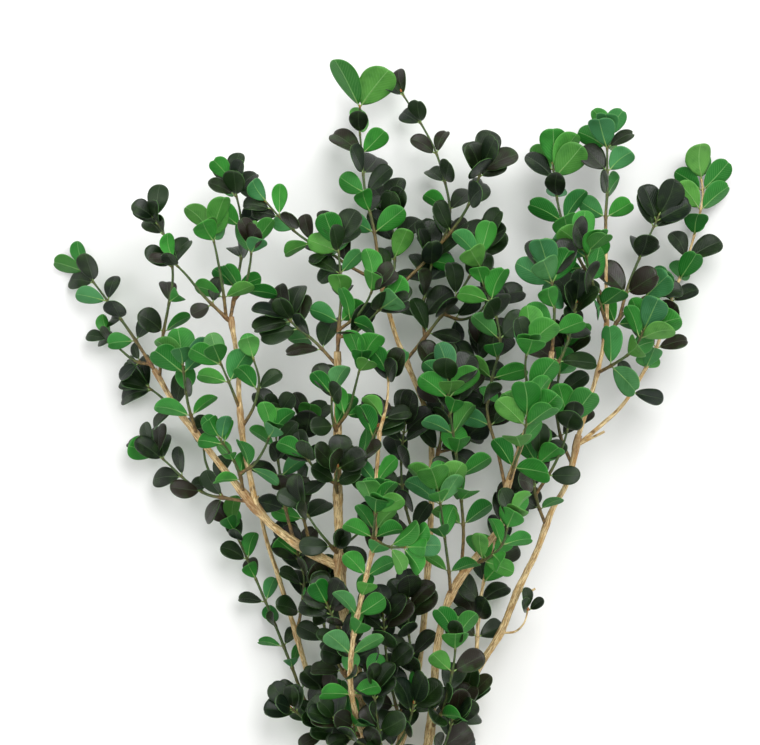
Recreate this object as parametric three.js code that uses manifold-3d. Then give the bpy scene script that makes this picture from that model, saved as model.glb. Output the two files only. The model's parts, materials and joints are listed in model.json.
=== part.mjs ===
// A cut, much-forked branch of preserved boxwood, lying on a flat surface. Millimetres, +Z up.
// The cut foot of the main stem points towards -Y and the leafy ends fan out towards +Y.
// Each woody stem and each leafy shoot is one closed mesh: its twigs and its leaves are grown together.
import * as THREE from "three";
import { ConvexGeometry } from "three/addons/geometries/ConvexGeometry.js";
import { mergeVertices } from "three/addons/utils/BufferGeometryUtils.js";
import Module from "manifold-3d";

const wasm = await Module();
wasm.setup();

// ---- Driving dimensions ----
const GAP = 0.3; // left between two pieces that touch
const FLOOR = 0; // the surface that the branch lies on
const SHORTEST_EDGE = 0.05; // shorter edges, left where leaf and twig join, are smoothed away
const STEM_SIDES = 8;
const TWIG_SIDES = 3;
const WOODY = 1.15; // a twig whose radius is larger than this is modelled as a stem
const LINE_STEPS = 240; // places looked at along a twig to find the nearest one
const TWIG_THICK = 1.0; // radius of a leafy twig at its foot
const TWIG_THIN = 0.5; // and at its end
const LEAF_STALK = 2; // from the twig's middle to the start of the blade
const LEAF_WIDTH = 0.72; // of the blade's length
const LEAF_THICK = 0.9; // in the middle of the blade
const LEAF_SHOULDER = 0.62; // where the blade is widest, as a share of the leaf
const BLADE_START = 0.3; // past the foot, where leaves of one piece have to be clear of each other
const FIRST_PAIR = 0.24; // place of the first pair of leaves along a twig, from 0 to 1
const LAST_PAIR = 0.86;
const TUFT_PLACE = 0.98; // of the last leaves, and how far below it the next ones are
const TUFT_STEP = 0.05;
const FACING = 0.58; // how far a blade turns from its natural lie towards the sky or the surface
const TUFT_LEAF = 1.05; // length of a leaf in the tuft at a twig's end, beside one lower down
const DEGREE = Math.PI / 180;
const WIDE_SPREAD = 62 * DEGREE; // angle between twig and leaf at the first pair
const CLOSE_SPREAD = 44 * DEGREE; // at the last pair
const TUFT_SPREAD = 30 * DEGREE; // in the tuft

// A leaf that would go through another piece or the surface is turned round its twig, spread wider or closer,
// and made shorter, in this order: turn and spread in degrees, and the share of its length that is kept.
const TRIES = [
  [0, 0, 1], [22, 0, 1], [-22, 0, 1], [0, -16, 1], [0, 16, 1], [42, -8, 1], [-42, -8, 1], [64, 0, 1],
  [-64, 0, 1], [0, -10, 0.75], [35, -14, 0.75], [-35, -14, 0.75], [88, -6, 0.75], [-88, -6, 0.75],
];

// ---- The branch ----
// Each piece springs from another one, at the nearest point of its first twig. A twig has the points of its
// middle line, its radius at both ends, its pairs of leaves, the leaves in the tuft at its end, the length of
// a blade, and the share of its leaves that turn their upper side up.
const PIECES = {
  main_stem: {
    wood: true,
    twigs: [
      { path: [[0, 0, 5], [0, 24, 5], [-1, 52, 9], [-6, 86, 20], [-12, 120, 31], [-19, 156, 39],
        [-24, 186, 44], [-25, 212, 47], [-26, 244, 51], [-26, 280, 55], [-26, 318, 58]], thick: 5,
        thin: 1.6 },
    ],
  },
  left_stem: {
    from: "main_stem", wood: true,
    twigs: [
      { path: [[-25, 199, 45], [-38, 206, 46], [-50, 213, 45], [-64, 224, 43], [-79, 241, 41],
        [-92, 257, 39], [-104, 272, 36], [-114, 285, 32], [-128, 308, 26]], thick: 2.5, thin: 1.3 },
    ],
  },
  left_upright_stem: {
    from: "left_stem", wood: true,
    twigs: [
      { path: [[-71, 231, 42], [-74, 248, 46], [-78, 269, 50], [-80, 290, 52], [-81, 312, 51],
        [-85, 337, 47]], thick: 1.7, thin: 1.2 },
    ],
  },
  outer_left_stem: {
    from: "main_stem", wood: true,
    twigs: [
      { path: [[-1, 54, 10], [-12, 76, 8], [-28, 102, 7], [-41, 132, 9], [-50, 162, 12], [-59, 192, 17],
        [-66, 214, 22], [-71, 238, 24]], thick: 1.9, thin: 1 },
    ],
  },
  middle_stem: {
    from: "main_stem",
    twigs: [
      { path: [[-8, 98, 25], [-15, 114, 42], [-19, 138, 57], [-17, 164, 66], [-12, 188, 71], [-6, 216, 73],
        [-5, 246, 71], [-3, 274, 67]], thick: 1.6, thin: 1, pairs: 11, tuft: 0, leaf: 16.5, dark: 0.05 },
      { path: [[-3, 274, 67], [1, 290, 69], [2, 306, 71]], pairs: 2, tuft: 4, leaf: 16, dark: 0.25 },
    ],
  },
  back_stem: {
    from: "main_stem", wood: true,
    twigs: [
      { path: [[-3, 70, 15], [6, 92, 13], [14, 120, 13], [20, 152, 16], [24, 200, 20], [26, 246, 24],
        [24, 280, 27], [13, 310, 30], [5, 330, 32], [-3, 362, 33]], thick: 2.1, thin: 1.2 },
    ],
  },
  centre_right_stem: {
    from: "main_stem", wood: true,
    twigs: [
      { path: [[0, 38, 7.5], [11, 60, 13], [20, 84, 21], [25, 108, 29], [27, 134, 36], [30, 162, 43],
        [37, 186, 49], [52, 208, 56], [64, 224, 60], [67, 244, 64], [76, 272, 69], [88, 299, 72],
        [91, 318, 73]], thick: 2.7, thin: 1.2 },
    ],
  },
  right_stem: {
    from: "main_stem", wood: true,
    twigs: [
      { path: [[0, 20, 5.6], [11, 40, 6], [26, 70, 9], [37, 98, 14], [43, 126, 20], [53, 144, 23],
        [64, 162, 27], [74, 187, 32], [84, 208, 36], [92, 230, 39], [101, 247, 40], [107, 272, 40]],
        thick: 2.7, thin: 1.3 },
      { path: [[75, 186, 32], [79, 185, 34], [83, 187, 36]], thick: 0.8, thin: 0.6 },
      { path: [[106, 266, 40], [113, 270, 42], [121, 274, 44]], thick: 0.9, thin: 0.7 },
      { path: [[65, 162, 27], [72, 163, 31], [77, 168, 34], [79, 175, 35]], thick: 0.7, thin: 0.4, pairs: 0,
        tuft: 3, leaf: 10, dark: 0.8 },
    ],
  },
  right_upright_stem: {
    from: "right_stem", wood: true,
    twigs: [
      { path: [[107, 272, 40], [113, 292, 43], [118, 310, 44], [122, 332, 44], [122, 354, 42],
        [122, 376, 40]], thick: 1.3, thin: 0.9 },
    ],
  },
  left_tip_shoot: {
    from: "left_stem",
    twigs: [
      { path: [[-128, 308, 26], [-139, 325, 22], [-149, 339, 18], [-158, 351, 15], [-168, 364, 12]],
        pairs: 4, tuft: 2, leaf: 16.5, dark: 0.8 },
      { path: [[-130, 311, 25], [-139, 313, 20], [-147, 319, 16], [-154, 326, 13]], pairs: 2, tuft: 3,
        leaf: 11, dark: 0.9 },
    ],
  },
  left_drooping_shoot: {
    from: "left_stem",
    twigs: [
      { path: [[-112, 282, 33], [-119, 288, 24], [-126, 294, 17], [-133, 299, 12]], pairs: 2, tuft: 4,
        leaf: 17.5, dark: 1 },
    ],
  },
  left_upright_shoot: {
    from: "left_stem",
    twigs: [
      { path: [[-125, 303, 27], [-123, 326, 34], [-120, 341, 39], [-117, 360, 43], [-120, 378, 46],
        [-127, 393, 48]], pairs: 4, tuft: 4, leaf: 15, dark: 0.8 },
    ],
  },
  left_front_shoot: {
    from: "left_stem",
    twigs: [
      { path: [[-104, 272, 36], [-108, 287, 45], [-110, 300, 51], [-111, 311, 55]], pairs: 3, tuft: 4,
        leaf: 17.5, dark: 0.3 },
    ],
  },
  left_middle_shoot: {
    from: "left_stem",
    twigs: [
      { path: [[-78, 240, 41], [-80, 251, 50], [-85, 262, 56], [-91, 271, 60]], pairs: 3, tuft: 3, leaf: 13,
        dark: 0 },
      { path: [[-80, 251, 50], [-72, 256, 57], [-66, 265, 62], [-62, 275, 65]], pairs: 2, tuft: 4, leaf: 16,
        dark: 0.1 },
    ],
  },
  left_low_shoot: {
    from: "left_stem",
    twigs: [
      { path: [[-74, 235, 41], [-88, 237, 32], [-99, 239, 26], [-110, 246, 21], [-121, 256, 17],
        [-129, 263, 14]], pairs: 4, tuft: 4, leaf: 16, dark: 0.9 },
      { path: [[-90, 238, 31], [-96, 248, 25], [-100, 258, 21], [-101, 268, 18]], pairs: 2, tuft: 4,
        leaf: 15, dark: 1 },
    ],
  },
  fan_left_shoot: {
    from: "left_upright_stem",
    twigs: [
      { path: [[-84, 334, 47], [-99, 348, 52], [-109, 360, 55], [-117, 368, 57]], pairs: 2, tuft: 3,
        leaf: 12, dark: 0.6 },
      { path: [[-87, 337, 48], [-89, 352, 54], [-92, 370, 59], [-95, 384, 62]], pairs: 2, tuft: 4,
        leaf: 17.5, dark: 0 },
    ],
  },
  fan_tall_shoot: {
    from: "left_upright_stem",
    twigs: [
      { path: [[-85, 337, 47], [-82, 354, 44], [-79, 374, 42], [-80, 395, 41], [-85, 414, 40]], pairs: 4,
        tuft: 6, leaf: 16, dark: 0.7 },
      { path: [[-83, 346, 45], [-77, 354, 53], [-74, 366, 58], [-73, 376, 61]], pairs: 2, tuft: 4, leaf: 16,
        dark: 0.3 },
    ],
  },
  fan_low_shoot: {
    from: "left_upright_stem",
    twigs: [
      { path: [[-80, 286, 52], [-85, 300, 59], [-90, 312, 64]], pairs: 1, tuft: 3, leaf: 16.5, dark: 0 },
    ],
  },
  fan_right_shoot: {
    from: "left_upright_stem",
    twigs: [
      { path: [[-79, 276, 51], [-72, 288, 56], [-69, 302, 60], [-72, 314, 62]], pairs: 1, tuft: 2, leaf: 16,
        dark: 0.2 },
    ],
  },
  inner_left_shoot: {
    from: "left_stem",
    twigs: [
      { path: [[-50, 213, 45], [-55, 232, 40], [-58, 250, 37], [-60, 266, 35], [-60, 282, 34]], pairs: 6,
        tuft: 4, leaf: 16, dark: 0.9 },
    ],
  },
  inner_low_shoot: {
    from: "left_stem",
    twigs: [
      { path: [[-40, 207, 46], [-45, 226, 32], [-48, 246, 25], [-47, 262, 22], [-44, 277, 21]], pairs: 4,
        tuft: 5, leaf: 16.5, dark: 0.7 },
    ],
  },
  outer_left_shoot: {
    from: "outer_left_stem",
    twigs: [
      { path: [[-28, 102, 7], [-43, 120, 8], [-52, 142, 9], [-61, 165, 11], [-71, 189, 13], [-80, 210, 16],
        [-86, 224, 19]], thick: 1.1, pairs: 8, tuft: 4, leaf: 13, dark: 0.6 },
    ],
  },
  outer_inner_shoot: {
    from: "outer_left_stem",
    twigs: [
      { path: [[-49, 160, 12], [-46, 178, 20], [-45, 194, 25], [-49, 208, 28]], pairs: 5, tuft: 4, leaf: 16,
        dark: 0.9 },
    ],
  },
  low_left_shoot: {
    from: "outer_left_stem",
    twigs: [
      { path: [[-27, 100, 7], [-36, 108, 14], [-45, 114, 19], [-52, 120, 22]], pairs: 3, tuft: 4, leaf: 15,
        dark: 1 },
    ],
  },
  low_inner_shoot: {
    from: "main_stem",
    twigs: [
      { path: [[-13, 126, 32], [-24, 142, 31], [-32, 159, 30], [-35, 176, 31], [-36, 190, 32]], pairs: 6,
        tuft: 4, leaf: 17.5, dark: 1 },
      { path: [[-22, 140, 31], [-20, 148, 42], [-22, 158, 50], [-27, 169, 56], [-32, 180, 59]], pairs: 5,
        tuft: 4, leaf: 16.5, dark: 0.9 },
    ],
  },
  foot_left_shoot: {
    from: "main_stem",
    twigs: [
      { path: [[-8, 98, 25], [-18, 108, 21], [-27, 118, 18], [-33, 130, 17]], pairs: 4, tuft: 4, leaf: 16.5,
        dark: 0.9 },
      { path: [[-15, 105, 22], [-24, 103, 16], [-31, 106, 13], [-36, 113, 12]], pairs: 4, tuft: 4, leaf: 16,
        dark: 0.9 },
      { path: [[-14, 104, 22], [-17, 106, 33], [-17, 112, 41]], pairs: 1, tuft: 4, leaf: 15, dark: 0.4 },
    ],
  },
  fork_twig: {
    from: "main_stem",
    twigs: [
      { path: [[-25, 206, 46], [-31, 213, 56], [-38, 222, 62], [-45, 233, 66]], pairs: 2, tuft: 3, leaf: 16,
        dark: 1 },
      { path: [[-28, 210, 52], [-20, 214, 58], [-12, 221, 62]], pairs: 2, tuft: 3, leaf: 16, dark: 0.8 },
    ],
  },
  stem_low_shoot: {
    from: "main_stem",
    twigs: [
      { path: [[-26, 238, 50], [-27, 246, 60], [-26, 255, 67]], pairs: 1, tuft: 4, leaf: 18, dark: 0.7 },
      { path: [[-27, 245, 58], [-18, 252, 62], [-10, 264, 64], [-4, 277, 65]], pairs: 3, tuft: 4,
        leaf: 16.5, dark: 0.8 },
      { path: [[-27, 246, 59], [-36, 251, 61], [-43, 260, 62]], pairs: 2, tuft: 3, leaf: 16, dark: 0.9 },
    ],
  },
  stem_front_shoot: {
    from: "main_stem",
    twigs: [
      { path: [[-26, 272, 54], [-29, 283, 62], [-29, 295, 67]], pairs: 2, tuft: 3, leaf: 16, dark: 0.5 },
      { path: [[-27, 276, 56], [-20, 286, 65], [-16, 300, 70], [-13, 312, 73]], pairs: 2, tuft: 4,
        leaf: 16.5, dark: 0 },
    ],
  },
  centre_left_shoot: {
    from: "main_stem",
    twigs: [
      { path: [[-26, 310, 57], [-38, 323, 52], [-48, 331, 48], [-54, 337, 46]], pairs: 4, tuft: 6,
        leaf: 17.5, dark: 0.85 },
    ],
  },
  stem_end_shoot: {
    from: "main_stem",
    twigs: [
      { path: [[-26, 318, 58], [-25, 335, 56], [-24, 351, 54], [-25, 367, 52], [-26, 379, 50]], pairs: 4,
        tuft: 5, leaf: 17.5, dark: 0.6 },
      { path: [[-25, 330, 57], [-16, 337, 64], [-10, 345, 69], [-6, 354, 72]], pairs: 2, tuft: 4, leaf: 16,
        dark: 0.6 },
      { path: [[-26, 326, 57], [-17, 328, 61], [-9, 335, 65], [-1, 343, 68]], pairs: 2, tuft: 4, leaf: 17,
        dark: 0.7 },
    ],
  },
  tallest_shoot: {
    from: "back_stem",
    twigs: [
      { path: [[-3, 362, 33], [-6, 385, 31], [-11, 407, 28], [-13, 429, 25], [-15, 452, 22]], pairs: 6,
        tuft: 0, leaf: 18, dark: 0.5 },
      { path: [[-14, 447, 22], [-14, 451, 23], [-14, 454, 24]], pairs: 0, tuft: 2, leaf: 26, dark: 0.5 },
    ],
  },
  upper_left_twig: {
    from: "back_stem",
    twigs: [
      { path: [[-3, 356, 33], [-19, 365, 38], [-31, 373, 42], [-44, 380, 45], [-55, 389, 46],
        [-66, 401, 46]], pairs: 5, tuft: 3, leaf: 16, dark: 0.7 },
    ],
  },
  arching_twig: {
    from: "back_stem",
    twigs: [
      { path: [[2, 346, 32], [12, 358, 28], [24, 370, 25], [34, 384, 23], [36, 398, 22], [33, 414, 21],
        [28, 430, 20], [19, 447, 19], [9, 463, 18]], pairs: 6, tuft: 2, leaf: 15, dark: 0.9 },
      { path: [[26, 372, 25], [37, 385, 33], [45, 397, 38], [50, 409, 41], [54, 421, 43]], pairs: 3,
        tuft: 6, leaf: 17.5, dark: 1 },
    ],
  },
  upper_back_shoot: {
    from: "back_stem",
    twigs: [
      { path: [[-1, 352, 33], [5, 364, 22], [5, 380, 15], [3, 396, 12]], pairs: 4, tuft: 4, leaf: 18,
        dark: 0.9 },
    ],
  },
  back_right_shoot: {
    from: "back_stem",
    twigs: [
      { path: [[11, 313, 30], [22, 326, 32], [32, 339, 34], [42, 352, 34], [50, 366, 33], [55, 380, 32]],
        pairs: 5, tuft: 5, leaf: 18, dark: 0.9 },
      { path: [[22, 326, 32], [21, 342, 27], [24, 358, 24], [27, 371, 23]], pairs: 4, tuft: 4, leaf: 18,
        dark: 0.95 },
      { path: [[32, 339, 34], [42, 336, 26], [51, 339, 22], [58, 346, 20]], pairs: 2, tuft: 4, leaf: 17,
        dark: 0.9 },
    ],
  },
  back_middle_shoot: {
    from: "back_stem",
    twigs: [
      { path: [[26, 248, 24], [31, 270, 30], [32, 290, 34], [30, 308, 37]], pairs: 4, tuft: 4, leaf: 18,
        dark: 1 },
      { path: [[31, 276, 31], [40, 290, 28], [48, 305, 25], [54, 321, 24]], pairs: 4, tuft: 4, leaf: 18,
        dark: 1 },
      { path: [[29, 262, 28], [38, 265, 25], [47, 272, 23], [53, 282, 22]], pairs: 3, tuft: 4, leaf: 17.5,
        dark: 1 },
    ],
  },
  back_inner_shoot: {
    from: "back_stem",
    twigs: [
      { path: [[24, 202, 20], [15, 220, 27], [10, 240, 32], [9, 260, 36], [11, 278, 38]], pairs: 5, tuft: 4,
        leaf: 18, dark: 0.9 },
    ],
  },
  back_low_shoot: {
    from: "back_stem",
    twigs: [
      { path: [[10, 106, 13], [6, 122, 24], [2, 140, 34], [0, 158, 42], [-1, 174, 47]], pairs: 5, tuft: 4,
        leaf: 17.5, dark: 1 },
      { path: [[8, 116, 20], [14, 130, 26], [15, 146, 30], [13, 164, 34], [13, 182, 38]], pairs: 5, tuft: 4,
        leaf: 17.5, dark: 1 },
    ],
  },
  foot_middle_shoot: {
    from: "main_stem",
    twigs: [
      { path: [[-5, 82, 19], [-2, 94, 33], [-3, 106, 43], [-5, 120, 50], [-6, 136, 54]], pairs: 5, tuft: 4,
        leaf: 17, dark: 0.95 },
      { path: [[-3, 92, 31], [7, 101, 36], [13, 112, 39], [16, 124, 41]], pairs: 3, tuft: 4, leaf: 17,
        dark: 0.9 },
      { path: [[-3, 94, 33], [-12, 101, 40], [-21, 107, 44], [-28, 116, 46]], pairs: 3, tuft: 4, leaf: 16.5,
        dark: 1 },
    ],
  },
  foot_right_shoot: {
    from: "centre_right_stem",
    twigs: [
      { path: [[18, 78, 18], [27, 90, 27], [34, 103, 33], [38, 117, 36]], pairs: 3, tuft: 4, leaf: 17,
        dark: 0.9 },
      { path: [[31, 97, 30], [38, 105, 27], [43, 115, 25], [45, 126, 24]], pairs: 3, tuft: 3, leaf: 16.5,
        dark: 0.8 },
    ],
  },
  centre_bright_shoot: {
    from: "centre_right_stem",
    twigs: [
      { path: [[42, 193, 51], [43, 218, 58], [41, 244, 63], [38, 268, 67], [35, 288, 71], [34, 303, 75]],
        pairs: 7, tuft: 6, leaf: 18.5, dark: 0.25 },
    ],
  },
  centre_right_twig: {
    from: "centre_right_stem",
    twigs: [
      { path: [[66, 240, 63], [62, 262, 62], [56, 285, 61], [59, 305, 62], [63, 322, 64], [60, 340, 66],
        [54, 354, 68], [51, 372, 70]], pairs: 8, tuft: 4, leaf: 16.5, dark: 0.2 },
    ],
  },
  bright_end_shoot: {
    from: "centre_right_stem",
    twigs: [
      { path: [[91, 318, 73], [92, 332, 75], [92, 346, 76], [90, 361, 76]], pairs: 3, tuft: 5, leaf: 20,
        dark: 0.05 },
    ],
  },
  bright_upper_shoot: {
    from: "centre_right_stem",
    twigs: [
      { path: [[82, 286, 70], [78, 297, 80], [76, 309, 87], [77, 320, 91]], pairs: 2, tuft: 4, leaf: 19.5,
        dark: 0.1 },
    ],
  },
  bright_front_shoot: {
    from: "centre_right_stem",
    twigs: [
      { path: [[68, 247, 64], [71, 258, 75], [75, 270, 83], [77, 283, 88]], pairs: 3, tuft: 4, leaf: 20,
        dark: 0 },
    ],
  },
  bright_low_shoot: {
    from: "centre_right_stem",
    twigs: [
      { path: [[36, 184, 49], [35, 198, 61], [33, 213, 69], [31, 229, 75], [29, 242, 78]], pairs: 3,
        tuft: 5, leaf: 18.5, dark: 0.05 },
    ],
  },
  pale_shoot: {
    from: "centre_right_stem",
    twigs: [
      { path: [[47, 201, 54], [56, 205, 64], [64, 213, 71], [68, 228, 76]], pairs: 4, tuft: 4, leaf: 16,
        dark: 0.1 },
    ],
  },
  middle_front_shoot: {
    from: "middle_stem",
    twigs: [
      { path: [[-7, 212, 73], [-6, 222, 83], [-5, 233, 89]], pairs: 2, tuft: 5, leaf: 17.5, dark: 0 },
      { path: [[-7, 216, 77], [2, 212, 84], [11, 212, 88]], pairs: 1, tuft: 4, leaf: 17.5, dark: 0.1 },
    ],
  },
  low_right_shoot: {
    from: "centre_right_stem",
    twigs: [
      { path: [[25, 108, 29], [31, 118, 38], [35, 132, 46], [38, 148, 51], [39, 162, 54]], pairs: 4,
        tuft: 4, leaf: 16.5, dark: 0.5 },
    ],
  },
  inner_right_shoot: {
    from: "right_stem",
    twigs: [
      { path: [[49, 137, 22], [51, 152, 17], [52, 168, 14], [54, 184, 13], [58, 202, 13], [64, 220, 14],
        [72, 236, 16]], thick: 1.3, pairs: 7, tuft: 4, leaf: 17.5, dark: 0.85 },
    ],
  },
  right_low_shoot: {
    from: "right_stem",
    twigs: [
      { path: [[89, 222, 38], [84, 235, 46], [82, 248, 50], [85, 262, 52]], pairs: 3, tuft: 4, leaf: 16.5,
        dark: 0.4 },
      { path: [[83, 240, 47], [92, 254, 54], [98, 268, 58], [101, 280, 60]], pairs: 2, tuft: 4, leaf: 17.5,
        dark: 0.3 },
    ],
  },
  right_back_shoot: {
    from: "right_stem",
    twigs: [
      { path: [[103, 256, 40], [97, 272, 34], [95, 290, 30], [97, 308, 28], [101, 324, 28]], pairs: 5,
        tuft: 5, leaf: 18.5, dark: 0.75 },
    ],
  },
  right_dark_shoot: {
    from: "centre_right_stem",
    twigs: [
      { path: [[89, 305, 72], [97, 316, 61], [102, 330, 56], [105, 345, 54]], pairs: 3, tuft: 5, leaf: 19.5,
        dark: 0.9 },
    ],
  },
  right_top_shoot: {
    from: "right_upright_stem",
    twigs: [
      { path: [[122, 376, 40], [122, 393, 38], [123, 408, 36], [123, 424, 34], [123, 438, 32]], pairs: 4,
        tuft: 6, leaf: 16.5, dark: 0.25 },
    ],
  },
  right_inner_shoot: {
    from: "right_upright_stem",
    twigs: [
      { path: [[122, 346, 43], [112, 361, 40], [103, 378, 38], [97, 394, 36], [94, 411, 34], [93, 422, 33]],
        pairs: 5, tuft: 4, leaf: 19.5, dark: 0.1 },
    ],
  },
  right_front_shoot: {
    from: "right_upright_stem",
    twigs: [
      { path: [[122, 334, 44], [117, 347, 55], [112, 361, 63], [109, 375, 69]], pairs: 3, tuft: 4, leaf: 20,
        dark: 0.1 },
    ],
  },
  right_outer_shoot: {
    from: "right_upright_stem",
    twigs: [
      { path: [[121, 324, 44], [130, 337, 40], [138, 345, 36], [147, 350, 33]], pairs: 2, tuft: 4,
        leaf: 17.5, dark: 0.5 },
      { path: [[129, 336, 40], [135, 356, 38], [144, 377, 34], [152, 394, 31]], pairs: 3, tuft: 4,
        leaf: 18.5, dark: 0.9 },
    ],
  },
  right_bright_shoot: {
    from: "right_upright_stem",
    twigs: [
      { path: [[117, 306, 44], [127, 312, 53], [136, 319, 59], [142, 330, 62]], pairs: 3, tuft: 4,
        leaf: 19.5, dark: 0.1 },
    ],
  },
  far_right_twig: {
    from: "right_stem",
    twigs: [
      { path: [[106, 266, 40], [119, 277, 35], [132, 289, 31], [143, 306, 28], [151, 321, 25],
        [156, 338, 23], [162, 354, 21], [168, 369, 19], [173, 386, 18], [177, 404, 17], [176, 416, 17]],
        thick: 1.2, pairs: 9, tuft: 4, leaf: 17.5, dark: 0.4 },
    ],
  },
};

// ---- Shapes ----
const vector = (p) => new THREE.Vector3(...p);

// A closed three.js geometry as a solid.
function solidOf(geometry) {
  const bare = geometry.clone();
  bare.deleteAttribute("normal");
  bare.deleteAttribute("uv");
  const merged = mergeVertices(bare, 1e-4);
  return new wasm.Manifold(new wasm.Mesh({
    numProp: 3,
    vertProperties: new Float32Array(merged.attributes.position.array),
    triVerts: new Uint32Array(merged.index.array),
  }));
}

// A solid as a three.js geometry.
function geometryOf(solid) {
  const mesh = solid.getMesh();
  const geometry = new THREE.BufferGeometry();
  geometry.setAttribute("position", new THREE.BufferAttribute(mesh.vertProperties, 3));
  geometry.setIndex(new THREE.BufferAttribute(mesh.triVerts, 1));
  const faceted = geometry.toNonIndexed();
  faceted.computeVertexNormals();
  return faceted;
}

// The directions at a place of a curve: along it, level across it, and up from it.
function directionsAt(curve, t) {
  const along = curve.getTangent(t);
  const across = new THREE.Vector3().crossVectors(along, new THREE.Vector3(0, 0, 1)).normalize();
  const up = new THREE.Vector3().crossVectors(across, along);
  return { along, across, up };
}

// The middle of a twig's rod, which is straight from ring to ring.
function placeAt(twig, t) {
  const ring = Math.min(Math.floor(t * twig.rings), twig.rings - 1);
  const before = twig.curve.getPoint(ring / twig.rings);
  return before.lerp(twig.curve.getPoint((ring + 1) / twig.rings), t * twig.rings - ring);
}

// A closed round rod along a twig, tapering, and larger all round by `more`.
function rod(twig, more) {
  const geometry = new THREE.CylinderGeometry(1, 1, 1, twig.sides, twig.rings);
  const points = geometry.attributes.position;
  for (let i = 0; i < points.count; i++) {
    const t = points.getY(i) + 0.5;
    const { along, across, up } = directionsAt(twig.curve, t);
    const radius = THREE.MathUtils.lerp(twig.thick, twig.thin, t) + more;
    const place = twig.curve.getPoint(t).addScaledVector(along, (2 * t - 1) * more);
    place.addScaledVector(across, points.getX(i) * radius).addScaledVector(up, points.getZ(i) * radius);
    points.setXYZ(i, place.x, place.y, place.z);
  }
  return solidOf(geometry);
}

// A leaf as a thin pointed shell, flat below and raised above: its foot is in the twig's middle
// unless `start` moves it out, as a share of the leaf, and `more` makes it larger all round.
function leafSolid(leaf, more, start = 0) {
  const reach = LEAF_STALK + leaf.length;
  const half = (LEAF_WIDTH * leaf.length) / 2 + more;
  const outline = [
    [start * reach, 0, 0],
    [LEAF_SHOULDER * reach, half, 0],
    [reach + more, 0, 0],
    [LEAF_SHOULDER * reach, -half, 0],
    [LEAF_SHOULDER * reach, 0, LEAF_THICK + more],
  ];
  const side = new THREE.Vector3().crossVectors(leaf.face, leaf.along);
  const points = outline.map(([a, b, c]) => leaf.foot.clone()
    .addScaledVector(leaf.along, a).addScaledVector(side, b).addScaledVector(leaf.face, c));
  return solidOf(new ConvexGeometry(points));
}

// ---- Growth ----
// A number from -1 to 1 that is always the same for the same two whole numbers.
function chance(a, b) {
  let h = (Math.imul(a + 1, 374761393) + Math.imul(b + 1, 668265263)) | 0;
  h = Math.imul(h ^ (h >>> 13), 1274126177);
  h = (h ^ (h >>> 16)) >>> 0;
  return h / 2147483648 - 1;
}

// Where the leaves of a twig grow: the place along it, the turn round it, the spread from it and the length.
function leafSites(twig, seed) {
  const sites = [];
  const phase = 25 * DEGREE * chance(seed, 0);
  const tufts = Math.ceil(twig.tuft / 2);
  for (let k = 0; k < twig.pairs + tufts; k++) {
    const inTuft = k >= twig.pairs;
    const rise = twig.pairs > 1 ? Math.min(k / (twig.pairs - 1), 1) : 0.5;
    const leaves = inTuft && twig.tuft % 2 === 1 && k === twig.pairs + tufts - 1 ? 1 : 2;
    const pairPlace = THREE.MathUtils.lerp(FIRST_PAIR, LAST_PAIR, rise);
    for (let half = 0; half < leaves; half++) {
      const draw = 10 * (2 * k + half) + 1;
      sites.push({
        t: inTuft ? TUFT_PLACE - TUFT_STEP * (k - twig.pairs) : pairPlace,
        turn: phase + (k * 90 + half * 180 + 14 * chance(seed, draw)) * DEGREE,
        spread: (inTuft ? TUFT_SPREAD + 14 * DEGREE * (k - twig.pairs)
          : THREE.MathUtils.lerp(WIDE_SPREAD, CLOSE_SPREAD, rise)) + 9 * DEGREE * chance(seed, draw + 1),
        length: twig.leaf * (inTuft ? TUFT_LEAF : 1) * (1 + 0.16 * chance(seed, draw + 2)),
        sky: chance(seed, draw + 3) < 2 * twig.dark - 1 ? 1 : -1,
        roll: 16 * DEGREE * chance(seed, draw + 4),
      });
    }
  }
  return sites;
}

// The leaf that grows at a site when it is turned, spread and shortened as one of TRIES says.
function leafAt(twig, site, [turnMore, spreadMore, share]) {
  const { along, across, up } = directionsAt(twig.curve, site.t);
  const turn = site.turn + turnMore * DEGREE;
  const spread = site.spread + spreadMore * DEGREE;
  const outward = across.multiplyScalar(Math.cos(turn)).addScaledVector(up, Math.sin(turn));
  const direction = along.clone().multiplyScalar(Math.cos(spread)).addScaledVector(outward, Math.sin(spread));
  const natural = along.addScaledVector(direction, -along.dot(direction)).normalize();
  const sky = new THREE.Vector3(0, 0, site.sky);
  sky.addScaledVector(direction, -sky.dot(direction)).normalize();
  const face = natural.multiplyScalar(1 - FACING).addScaledVector(sky, FACING).normalize();
  face.applyAxisAngle(direction, site.roll);
  return { foot: placeAt(twig, site.t), along: direction, face, length: site.length * share };
}

// The point of a twig's middle line that is nearest to a place.
function nearestOn(twig, place) {
  const points = Array.from({ length: LINE_STEPS + 1 }, (_, i) => placeAt(twig, i / LINE_STEPS));
  return points.reduce((best, p) => (p.distanceTo(place) < best.distanceTo(place) ? p : best));
}

function meet(a, b) {
  return !a.intersect(b).isEmpty();
}

function boxesMeet(a, b) {
  return [0, 1, 2].every((i) => a.min[i] <= b.max[i] && b.min[i] <= a.max[i]);
}

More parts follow.
